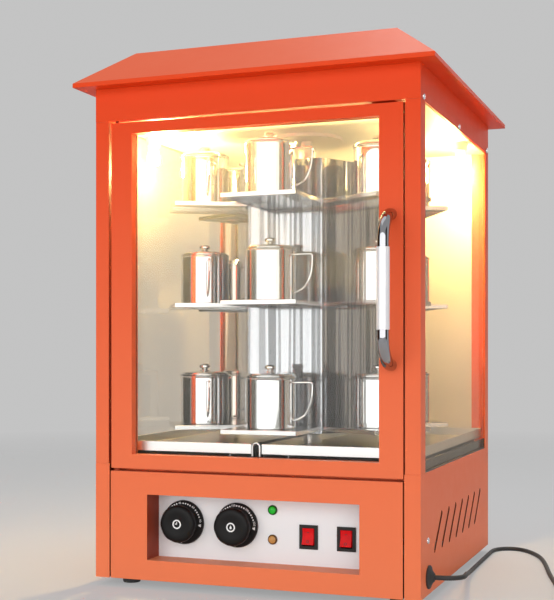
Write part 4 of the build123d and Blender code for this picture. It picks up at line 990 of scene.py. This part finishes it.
def lid_outline(radius):
    """Stepped lid: spigot, rolled rim, upstand, low crown and spool knob."""
    r = radius / MM
    return in_mm((
        (0, 5.0), (r * 0.6, 4.6), (r - 5.0, 3.6), (r - 3.6, 2.4), (r - 3.4, -3.5), (r - 2.6, -3.5),
        (r - 2.4, 0.0), (r + 0.6, 0.0), (r + 1.3, 0.5), (r + 1.3, 1.2), (r + 0.6, 1.7), (r - 1.6, 1.6),
        (r - 2.2, 1.9), (r - 2.6, 3.6), (r - 3.2, 4.3), (r - 4.6, 4.7), (r * 0.6, 5.8), (r * 0.3, 6.9),
        (8.2, 7.2), (7.6, 8.1), (5.0, 8.8), (4.2, 9.6), (5.2, 10.5), (7.8, 11.5), (9.0, 13.0),
        (9.0, 15.0), (7.4, 16.9), (4.2, 18.0), (0, 18.3),
    ))


def mug_handle(radius, wire):
    """Ear of bent wire: level top, upright grip and a long slant back to the foot of the mug."""
    r = radius / MM
    far = r + EAR_REACH - wire / MM
    leads = in_mm((
        (r - 0.6, 0, 68.6), (r + 8, 0, 69.0), (far - 6, 0, 69.2), (far, 0, 68.6), (far + 0.2, 0, 60),
        (far - 0.6, 0, 47), (far - 3.4, 0, 36), (far - 8.0, 0, 26), (far - 14.5, 0, 17.5), (r - 0.6, 0, 12),
    ))
    return spline_points(leads, EAR_STEPS)


def column_places(columns, orbit, z):
    """Standing places round the drum, each turned to face outwards."""
    centre = Matrix.Translation((0, AXIS_Y, 0))
    out = Matrix.Translation((0, -orbit, z))
    return [centre @ Matrix.Rotation(turn, 4, "Z") @ out for turn in circle(columns)]


class ROASTER_OT_mugs(Operator):
    """Steel mugs with wire handles, and their lids"""

    bl_idname = "roaster.mugs"
    bl_label = "Mugs and lids"

    steps = 56
    wire_sides = 10

    def execute(self, context):
        sizes = context.scene.roaster_sizes
        body = mug_outline(sizes.mug_radius, sizes.mug_height)
        handle = mug_handle(sizes.mug_radius, sizes.wire_radius)
        cover = lid_outline(sizes.mug_radius)
        loose = bmesh.new()
        for level in ("lower", "middle", "upper"):
            bm = bmesh.new()
            for place in column_places(sizes.columns, sizes.mug_orbit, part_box("mugs_" + level)[0].z):
                spun_mesh(bm, body, self.steps, place)
                tube_mesh(bm, handle, sizes.wire_radius, self.wire_sides, place)
            mugs = new_piece(bm, "steel_mugs_" + level, "carousel", "mirror")
            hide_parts("mugs_" + level)
            tops = column_places(sizes.columns, sizes.mug_orbit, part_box("lid_front_" + level)[0].z)
            bm = bmesh.new()
            spun_mesh(bm, cover, self.steps, tops[0])
            lid = new_piece(bm, "steel_lid_" + level, level + "_lid", "mirror")
            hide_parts("lid_front_" + level)
            for place in tops[1:]:
                spun_mesh(loose, cover, self.steps, place)
        lids = new_piece(loose, "steel_lids", "carousel", "mirror")
        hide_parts("lids")
        return {"FINISHED"}


class ROASTER_OT_handle(Operator):
    """Chrome bow handle with a sleeve over its grip"""

    bl_idname = "roaster.handle"
    bl_label = "Door handle"

    tube_radius = 8.2 * MM
    bend = 40 * MM
    arc_steps = 14
    tube_sides = 32
    sleeve_half = 55.5 * MM
    sleeve_sunk = 0.1 * MM
    sleeve_round = 0.3 * MM
    sleeve_edge = 0.4 * MM
    sleeve_sides = 48

    def execute(self, context):
        low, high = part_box("door_handle")
        grip = (high.x - low.x) / 2
        x = (low.x + high.x) / 2
        front = low.y + grip
        foot = low.z + grip
        top = high.z - grip
        bends = []
        for k in range(self.arc_steps + 1):
            turn = math.pi / 2 * k / self.arc_steps
            bends.append((self.bend * (1 - math.sin(turn)), self.bend * (1 - math.cos(turn))))
        line = [Vector((x, high.y, foot))]
        line += [Vector((x, front + back, foot + rise)) for back, rise in bends]
        line += [Vector((x, front + back, top - rise)) for back, rise in reversed(bends)]
        line.append(Vector((x, high.y, top)))
        bm = bmesh.new()
        tube_mesh(bm, line, self.tube_radius, self.tube_sides)
        bow = new_piece(bm, "handle_bow", "door", "bow")
        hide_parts("door_handle")
        half = self.sleeve_half
        inner = self.tube_radius - self.sleeve_sunk
        section = [
            (inner, -half), (grip - self.sleeve_round, -half), (grip, -half + self.sleeve_edge),
            (grip, half - self.sleeve_edge), (grip - self.sleeve_round, half), (inner, half),
        ]
        bm = bmesh.new()
        ring_mesh(bm, section, self.sleeve_sides, Matrix.Translation((x, front, (foot + top) / 2)))
        sleeve = new_piece(bm, "handle_sleeve", "door", "sleeve")
        return {"FINISHED"}


class ROASTER_OT_dials(Operator):
    """Dial knobs with their numbers, dots and centre rings"""

    bl_idname = "roaster.dials"
    bl_label = "Dials"

    outline = (
        (0, 0.6), (30.0, 0.6), (30.4, 0.0), (32.4, 0.0), (33.0, 0.6), (33.0, 1.8), (32.2, 4.6), (31.5, 5.7),
        (30.7, 6.0), (26.0, 6.0), (25.4, 6.3), (25.2, 7.2), (25.8, 11.0), (27.2, 17.0), (28.0, 21.0),
        (27.4, 24.0), (25.2, 26.0), (21.6, 27.0), (15.6, 26.6), (10.6, 25.9), (7.4, 25.6), (0, 25.6),
    )
    depth = 27.0 * MM
    skirt_face = 6.0
    centre_face = 25.6
    sunk = 0.05
    steps = 96
    smooth_degrees = 50
    lobe_count = 8
    lobe_depth = 0.014
    lobes_above = 6.2 * MM
    lobes_outside = 12 * MM
    numbers = {
        "left": ("0", "15", "30", "45", "60", "90"),
        "right": ("0", "50", "100", "150", "200", "250"),
    }
    first_degrees = -143
    step_degrees = 45
    number_reach = 29.4
    number_size = 4.6 * MM
    print_depth = 0.2 * MM
    dots_between = 4
    dot_degrees = 7.8
    dot_reach = 29.0
    dot_steps = 12
    dot = ((0, 0), (1.2, 0), (1.1, 0.25), (0, 0.25))
    mark_reach = 28.8
    end_marks = (
        (96, ((-2.4, 1.7), (-0.7, -2.4), (0.7, -2.4), (2.4, 1.7))),
        (183, ((-0.8, -1.6), (0.8, -1.6), (0.8, 1.6), (-0.8, 1.6))),
    )
    badge_depth = 0.3 * MM
    badge_ring = ((4.9, 0), (5.0, 0.3), (5.9, 0.45), (6.8, 0.3), (6.9, 0))
    badge_steps = 40
    hands = ((0, 3.6), (80, 3.0))
    hand_half = 0.6
    drop_radius = 1.7
    drop_low = 0.8
    drop_tip = 3.2
    drop_from = 150
    drop_round = 240
    drop_steps = 14

    def lobes(self, turn, radius, height):
        """Shallow scoops round the grip."""
        if height < self.lobes_above or radius < self.lobes_outside:
            return 1.0
        scoop = 0.5 - 0.5 * math.cos(self.lobe_count * turn)
        return 1.0 - self.lobe_depth * scoop * scoop

    def execute(self, context):
        for side in SIDES:
            at = middle_of("knob_" + side)
            at.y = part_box("knob_" + side)[0].y + self.depth
            place = facing_front(at)
            bm = bmesh.new()
            spun_mesh(bm, in_mm(self.outline), self.steps, place, self.lobes)
            knob = new_piece(bm, "dial_" + side, side + "_dial", "dial", self.smooth_degrees)
            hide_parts("knob_" + side)
            bm = bmesh.new()
            self.scale(bm, side, place)
            self.badge(bm, side, place)
            marks = new_piece(bm, "dial_marks_" + side, side + "_dial", "mark")
        return {"FINISHED"}

    def spot(self, place, degrees, reach):
        """Place on the skirt, turned to read from the middle outwards."""
        out = Matrix.Translation((0, reach * MM, (self.skirt_face - self.sunk) * MM))
        return place @ spun_about("Z", -degrees) @ out

    def scale(self, bm, side, place):
        """Numbers with dots between them, and the marks at the end of the scale."""
        for i, number in enumerate(self.numbers[side]):
            degrees = self.first_degrees + i * self.step_degrees
            spot = self.spot(place, degrees, self.number_reach)
            numeral_mesh(bm, number, self.number_size, self.print_depth, spot)
            if i == len(self.numbers[side]) - 1:
                break
            for k in range(self.dots_between):
                off = (k - (self.dots_between - 1) / 2) * self.dot_degrees
                spot = self.spot(place, degrees + self.step_degrees / 2 + off, self.dot_reach)
                spun_mesh(bm, in_mm(self.dot), self.dot_steps, spot)
        for degrees, mark in self.end_marks:
            slab_mesh(bm, in_mm(mark), self.print_depth, self.spot(place, degrees, self.mark_reach))

    def badge(self, bm, side, place):
        """White ring with clock hands on the timer and a drop of heat on the thermostat."""
        level = place @ Matrix.Translation((0, 0, (self.centre_face - self.sunk) * MM))
        ring_mesh(bm, in_mm(self.badge_ring), self.badge_steps, level)
        if side == "left":
            half = self.hand_half
            for degrees, length in self.hands:
                hand = in_mm(((-half, -half), (half, -half), (half, length), (-half, length)))
                slab_mesh(bm, hand, self.badge_depth, level @ spun_about("Z", degrees))
            return
        radius = self.drop_radius
        drop = []
        for k in range(self.drop_steps + 1):
            turn = math.radians(self.drop_from + self.drop_round * k / self.drop_steps)
            drop.append((radius * math.cos(turn), radius * math.sin(turn) - self.drop_low))
        drop.append((0.0, self.drop_tip))
        slab_mesh(bm, in_mm(drop), self.badge_depth, level)


class ROASTER_OT_switches(Operator):
    """Lit rockers with their marks, and the pilot lenses"""

    bl_idname = "roaster.switches"
    bl_label = "Switches and pilot lamps"

    lens = (
        (0, -12.0), (5.6, -12.0), (5.6, 0.0), (6.2, 0.0), (6.2, 1.5), (5.9, 2.1), (5.2, 3.1), (4.0, 4.0),
        (2.2, 4.6), (0, 4.8),
    )
    rim = (
        (5.2, 0.0), (7.3, 0.0), (7.4, 0.8), (7.1, 1.8), (6.6, 2.6), (6.0, 3.1), (5.5, 3.3), (5.2, 2.9)
    )
    steps = 40
    rocker_round = 0.8 * MM
    mark_sunk = 0.05 * MM
    mark_depth = 0.15
    bar_rise = 6.2 * MM
    bar = ((-1.7, -0.45), (1.7, -0.45), (1.7, 0.45), (-1.7, 0.45))
    ring_rise = -6.6 * MM
    ring_radii = (1.3, 2.0)
    ring_steps = 28
    sight = 0.05

    def execute(self, context):
        for side in SIDES:
            rounded_copy("rocker_" + side, self.rocker_round, 3)
            self.marks(side)
        for colour in ("green", "amber"):
            at = middle_of("indicator_" + colour)
            at.y = PANEL_LOW.y
            bm = bmesh.new()
            spun_mesh(bm, in_mm(self.lens), self.steps, facing_front(at))
            lens = new_piece(bm, "pilot_" + colour, "cabinet", colour)
            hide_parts("indicator_" + colour)
            bm = bmesh.new()
            ring_mesh(bm, in_mm(self.rim), self.steps, facing_front(at))
            rim = new_piece(bm, "pilot_rim_" + colour, "cabinet", colour + "_rim")
        return {"FINISHED"}

    def marks(self, side):
        """Bar for on and ring for off, laid on the paddle's two faces."""
        solid = solid_copy("rocker_" + side)
        surface = BVHTree.FromBMesh(solid)
        solid.free()
        bm = bmesh.new()
        slab_mesh(bm, in_mm(self.bar), self.mark_depth * MM, self.mark_place(side, surface, self.bar_rise))
        inner, outer = self.ring_radii
        ring = in_mm(((inner, 0), (inner, self.mark_depth), (outer, self.mark_depth), (outer, 0)))
        ring_mesh(bm, ring, self.ring_steps, self.mark_place(side, surface, self.ring_rise))
        piece = new_piece(bm, "rocker_marks_" + side, side + "_rocker", "dark_mark")

    def mark_place(self, side, surface, rise):
        """Frame on the paddle's face, at a height above its middle."""
        start = middle_of("rocker_" + side)
        start.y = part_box("rocker_" + side)[0].y - self.sight
        start.z += rise
        spot, facing, _, _ = surface.ray_cast(start, Vector((0, 1, 0)))
        lean = facing.to_track_quat("Z", "Y").to_matrix().to_4x4()
        return Matrix.Translation(spot - facing * self.mark_sunk) @ lean


class ROASTER_OT_screws(Operator):
    """Cross-head casing screws"""

    bl_idname = "roaster.screws"
    bl_label = "Casing screws"

    outline = (
        (4.5, 0.0), (4.5, 0.7), (4.3, 1.3), (3.8, 1.8), (3.0, 2.15), (2.4, 2.27), (1.8, 2.35), (1.2, 2.38),
        (0.6, 2.4), (0, 2.4),
    )
    head_height = 2.4 * MM
    head_turn = 12
    steps = 40
    recess_reach = 2.5 * MM
    recess_half = 0.62 * MM
    recess_depth = 1.2 * MM

    def execute(self, context):
        bm = bmesh.new()
        for low, high in loose_boxes("casing_screws"):
            side = 1 if low.x > 0 else -1
            foot = (low + high) / 2
            foot.x = (high.x if side > 0 else low.x) - side * self.head_height
            self.screw(bm, Matrix.Translation(foot) @ spun_about("Y", 90 * side))
        piece = new_piece(bm, "cross_screws", "cabinet", "chrome")
        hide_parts("casing_screws")
        return {"FINISHED"}

    def screw(self, bm, place):
        """Domed head with a cross pressed into it."""
        first = len(bm.verts)
        turned = place @ spun_about("Z", self.head_turn)
        spun_mesh(bm, in_mm(self.outline), self.steps, turned)
        bm.verts.ensure_lookup_table()
        back = turned.inverted()
        for vertex in bm.verts[first:]:
            local = back @ vertex.co
            reach = math.hypot(local.x, local.y)
            near = min(abs(local.x), abs(local.y))
            if reach < self.recess_reach and near < self.recess_half:
                local.z -= self.recess_depth
                vertex.co = turned @ local


class ROASTER_OT_lamps(Operator):
    """Pear-shaped chamber bulbs"""

    bl_idname = "roaster.lamps"
    bl_label = "Chamber lamps"

    outline = (
        (0.62, 0.0), (0.62, 0.12), (0.70, 0.24), (0.86, 0.38), (0.98, 0.53), (1.0, 0.66), (0.95, 0.79),
        (0.80, 0.90), (0.52, 0.97), (0.24, 0.995), (0, 1.0),
    )
    steps = 32

    def execute(self, context):
        bm = bmesh.new()
        for low, high in loose_boxes("lamps"):
            radius = (high.x - low.x) / 2
            drop = high.z - low.z
            top = Vector(((low.x + high.x) / 2, (low.y + high.y) / 2, high.z))
            place = Matrix.Translation(top) @ spun_about("X", 180)
            spun_mesh(bm, [(r * radius, h * drop) for r, h in self.outline], self.steps, place)
        piece = new_piece(bm, "chamber_bulbs", "cabinet", "bulb")
        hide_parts("lamps")
        return {"FINISHED"}


def coil_line():
    """Control points of the coil: in on the lower layer, up half a turn, out on the upper."""
    top = COIL_LOW_Z + COIL_PITCH
    reaches = [COIL_R - COIL_PITCH * (i // 2) for i in range(COIL_HALVES + 1)]
    layers = [(reach, COIL_LOW_Z) for reach in reaches] + [(reach, top) for reach in reversed(reaches)]
    ends = [(reach if i % 2 else -reach, z) for i, (reach, z) in enumerate(layers)]
    swell = 1 / math.cos(math.pi / COIL_STEPS / 2)
    points = []
    for i, ((x0, z0), (x1, z1)) in enumerate(zip(ends, ends[1:])):
        radius = abs(x1 - x0) / 2 * swell
        start = 0.0 if i % 2 else math.pi
        for k in range(COIL_STEPS):
            part = (k + 0.5) / COIL_STEPS
            turn = start + part * math.pi
            x = COIL_CENTRE[0] + (x0 + x1) / 2 + radius * math.cos(turn)
            y = COIL_CENTRE[1] + radius * math.sin(turn)
            points.append((x, y, z0 + (z1 - z0) * part))
    last = (COIL_CENTRE[0] + COIL_R, COIL_CENTRE[1], top)
    return points, last


class ROASTER_OT_lead(Operator):
    """Mains lead from its boot to the coil and plug"""

    bl_idname = "roaster.lead"
    bl_label = "Mains lead"

    boot = (
        (0, -10.0), (12.8, -10.0), (12.8, -1.6), (8.0, -1.6), (8.0, 0.0), (16.0, 0.0), (16.5, 0.5),
        (16.5, 2.0), (15.8, 2.8), (14.6, 3.2), (12.4, 3.6), (11.2, 4.4), (8.2, 6.4), (6.2, 8.0), (5.5, 9.0),
        (4.6, 9.2), (0, 9.2),
    )
    boot_proud = 9.0 * MM
    boot_steps = 40
    plug_round = 1.6 * MM
    curve_steps = 6

    def execute(self, context):
        diameter = context.scene.roaster_sizes.lead_diameter
        turns, last = coil_line()
        ending = (last[0], last[1] + diameter / MM, last[2])
        points = [at_mm(*p) for p in (*LEAD_ROUTE, *turns, last, ending)]
        curve = smooth_curve("mains_lead", points, self.curve_steps)
        curve.bevel_depth = diameter / 2
        curve.bevel_resolution = 4
        curve.use_fill_caps = True
        curve.materials.append(FINISHES["lead"])
        lead = add_to_scene(bpy.data.objects.new("mains_lead", curve))
        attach(lead, "cabinet")
        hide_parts("mains_cord", "cord_coil")
        ends = [NODES[name] for name in ("plug_pins", "cord_tie")]
        ends.append(rounded_copy("mains_plug", self.plug_round, 3))
        self.boot_piece()
        return {"FINISHED"}

    def boot_piece(self):
        """Stubby strain relief where the lead leaves the side."""
        foot = middle_of("cord_gland")
        foot.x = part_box("cord_gland")[1].x - self.boot_proud
        bm = bmesh.new()
        spun_mesh(bm, in_mm(self.boot), self.boot_steps, Matrix.Translation(foot) @ spun_about("Y", 90))
        piece = new_piece(bm, "lead_boot", "cabinet", "lead")
        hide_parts("cord_gland")


# Stage
def studio_light(name, kind, place, power, colour):
    lamp = bpy.data.lights.new(name, kind)
    lamp.energy = power
    lamp.color = colour
    holder = add_to_scene(bpy.data.objects.new(name, lamp))
    holder.location = place
    return holder


def area_light(name, place, target, size, power, colour=(1, 1, 1)):
    holder = studio_light(name, "AREA", place, power, colour)
    holder.data.shape = "RECTANGLE"
    holder.data.size, holder.data.size_y = size
    aim = Vector(target) - Vector(place)
    holder.rotation_euler = aim.to_track_quat("-Z", "Y").to_euler()
    holder.visible_camera = False
    return holder


class ROASTER_OT_stage(Operator):
    """Floor, studio light and the camera"""

    bl_idname = "roaster.stage"
    bl_label = "Studio"

    sensor_width = 36
    sight = 50
    floor_reach = 6.0
    floor_steps = 48
    floor_glow = 0.5
    fade_from = 1.2
    fade_over = 2.2
    card_height = (0.0, 2.6)
    card_colour = (0.02, 0.02, 0.02)
    cards = {
        "right_flag": ((3.2, -2.0), (3.2, -0.3)),
        "left_flag": ((-2.6, -2.2), (-2.6, 0.5)),
    }
    sky_colour = (0.97, 0.98, 1.0)
    studio = (
        ("key_wall", (1.0, -2.75, 1.0), (1.0, 0, 1.0), (6.8, 1.96), "key"),
        ("low_front", (-0.7, -1.9, 0.22), (0, 0, 0.15), (1.4, 0.36), "low"),
        ("low_side", (1.9, -0.5, 0.3), (0.25, 0, 0.1), (1.0, 0.4), "low"),
        ("overhead", (-0.4, -0.3, 2.7), (0, 0, 0.7), (2.0, 2.0), "overhead"),
        ("rim", (0.55, 3.1, 2.0), (0.25, 0, 0.7), (0.6, 1.3), "rim"),
        ("sheen", (0.15, 0.9, 2.7), (0.1, 0, 0.75), (1.2, 1.2), "sheen"),
    )
    lamp_radius = 12 * MM
    lamp_below = 4 * MM
    lamp_inward = 0.93
    head_place = (0, -100, 672)
    head_size = (0.4, 0.008)

    def execute(self, context):
        scene = context.scene
        stage = scene.roaster_stage
        self.camera(scene, stage)
        self.floor(stage)
        self.flags()
        self.world(scene, stage)
        self.lights(stage, scene.roaster_finish)
        scene.view_settings.view_transform = "Standard"
        return {"FINISHED"}

    def camera(self, scene, stage):
        lens = bpy.data.cameras.new("camera")
        lens.lens = stage.lens
        lens.sensor_width = self.sensor_width
        lens.shift_y = stage.camera_rise
        lens.clip_end = self.sight
        holder = add_to_scene(bpy.data.objects.new("camera", lens))
        holder.location = (stage.camera_x, AXIS_Y - stage.camera_y, stage.camera_z)
        holder.rotation_euler = (math.pi / 2, 0, stage.camera_turn)
        scene.camera = holder

    def set_out(self, bm, name, finish):
        """Part of the studio, which is no part of the roaster."""
        mesh = bm_to_mesh(bm, name)
        mesh.materials.append(finish)
        piece = add_to_scene(bpy.data.objects.new(name, mesh))
        return piece

    def floor(self, stage):
        """Pale floor that keeps shadows and runs out into the backdrop."""
        finish = new_finish("studio_floor")
        base = finish.toned(finish.noise(3), stage.floor, 0.985, 1.01)
        paper = finish.node("ShaderNodeBsdfDiffuse", {}, {"Color": base})
        pale = finish.coloured("ShaderNodeEmission", stage.backdrop, Strength=1.0)
        lit = finish.mixed(self.floor_glow * finish.seen(), paper, pale)
        away = finish.node("ShaderNodeVectorMath", {"operation": "LENGTH"}, {0: finish.place()}, "Value")
        far = finish.clamped((away - self.fade_from) / self.fade_over)
        gone = finish.node("ShaderNodeBsdfTransparent")
        bm = bmesh.new()
        disc = [(0, 0), (self.floor_reach / 2, 0), (self.floor_reach, 0)]
        spun_mesh(bm, disc, self.floor_steps)
        self.set_out(bm, "floor", finish.done(finish.mixed(far, lit, gone)))

    def flags(self):
        """Dark cards either side that draw lines in the bright metal, and take no light away."""
        finish = new_finish("studio_flag")
        felt = finish.done(finish.coloured("ShaderNodeBsdfDiffuse", self.card_colour))
        low, high = self.card_height
        for name, (near, far) in self.cards.items():
            bm = bmesh.new()
            edge = [(*near, low), (*far, low), (*far, high), (*near, high)]
            bm.faces.new([bm.verts.new(corner) for corner in edge])
            card = self.set_out(bm, name, felt)
            card.visible_camera = False
            card.visible_diffuse = False
            card.visible_shadow = False

    def world(self, scene, stage):
        """Even light all round, behind a plain pale backdrop."""
        world = bpy.data.worlds.new("studio")
        sky = Shading(world)
        lighting = sky.coloured("ShaderNodeBackground", self.sky_colour, Strength=stage.ambient)
        shown = sky.coloured("ShaderNodeBackground", stage.backdrop, Strength=1.0)
        sky.done(sky.mixed(sky.seen(), lighting, shown), "ShaderNodeOutputWorld")
        scene.world = world

    def lights(self, stage, colours):
        """White wall in front, soft lights low down and overhead, and the glow of the chamber lamps."""
        for name, place, target, size, power in self.studio:
            holder = area_light(name, place, target, size, getattr(stage, power))
            holder.visible_glossy = power != "low"
        for low, high in loose_boxes("lamps"):
            middle = (low + high) / 2
            place = (middle.x * self.lamp_inward, middle.y, low.z - self.lamp_below)
            power = stage.left_lamp if middle.x < 0 else stage.right_lamp
            lamp = studio_light("chamber_lamp", "POINT", place, power, colours.glow)
            lamp.data.shadow_soft_size = self.lamp_radius
        start = at_mm(*self.head_place)
        target = start + Vector((0, -1, 0))
        area_light("chamber_head", start, target, self.head_size, stage.head, colours.glow)


class ROASTER_PT_panel(Panel):
    """Pieces of the roaster"""

    bl_idname = "ROASTER_PT_panel"
    bl_label = "Rotary roaster"
    bl_space_type = "VIEW_3D"
    bl_region_type = "UI"
    bl_category = "Roaster"

    def draw(self, context):
        for operator in OPERATORS:
            self.layout.operator(operator.bl_idname)
        for group in GROUPS:
            settings = getattr(context.scene, group)
            column = self.layout.column()
            for name in settings.__annotations__:
                column.prop(settings, name)


GROUPS = {
    "roaster_finish": RoasterFinish,
    "roaster_sizes": RoasterSizes,
    "roaster_stage": RoasterStage,
}
OPERATORS = (
    ROASTER_OT_finishes,
    ROASTER_OT_lead,
    ROASTER_OT_sheets,
    ROASTER_OT_mugs,
    ROASTER_OT_handle,
    ROASTER_OT_dials,
    ROASTER_OT_switches,
    ROASTER_OT_screws,
    ROASTER_OT_lamps,
    ROASTER_OT_stage,
)


def register():
    for name, group in GROUPS.items():
        bpy.utils.register_class(group)
        setattr(bpy.types.Scene, name, PointerProperty(type=group))
    for operator in OPERATORS:
        bpy.utils.register_class(operator)
    bpy.utils.register_class(ROASTER_PT_panel)


def unregister():
    bpy.utils.unregister_class(ROASTER_PT_panel)
    for operator in reversed(OPERATORS):
        bpy.utils.unregister_class(operator)
    for name, group in GROUPS.items():
        delattr(bpy.types.Scene, name)
        bpy.utils.unregister_class(group)


def main():
    register()
    for operator in OPERATORS:
        area, name = operator.bl_idname.split(".")
        getattr(getattr(bpy.ops, area), name)()


if __name__ == "__main__":
    main()
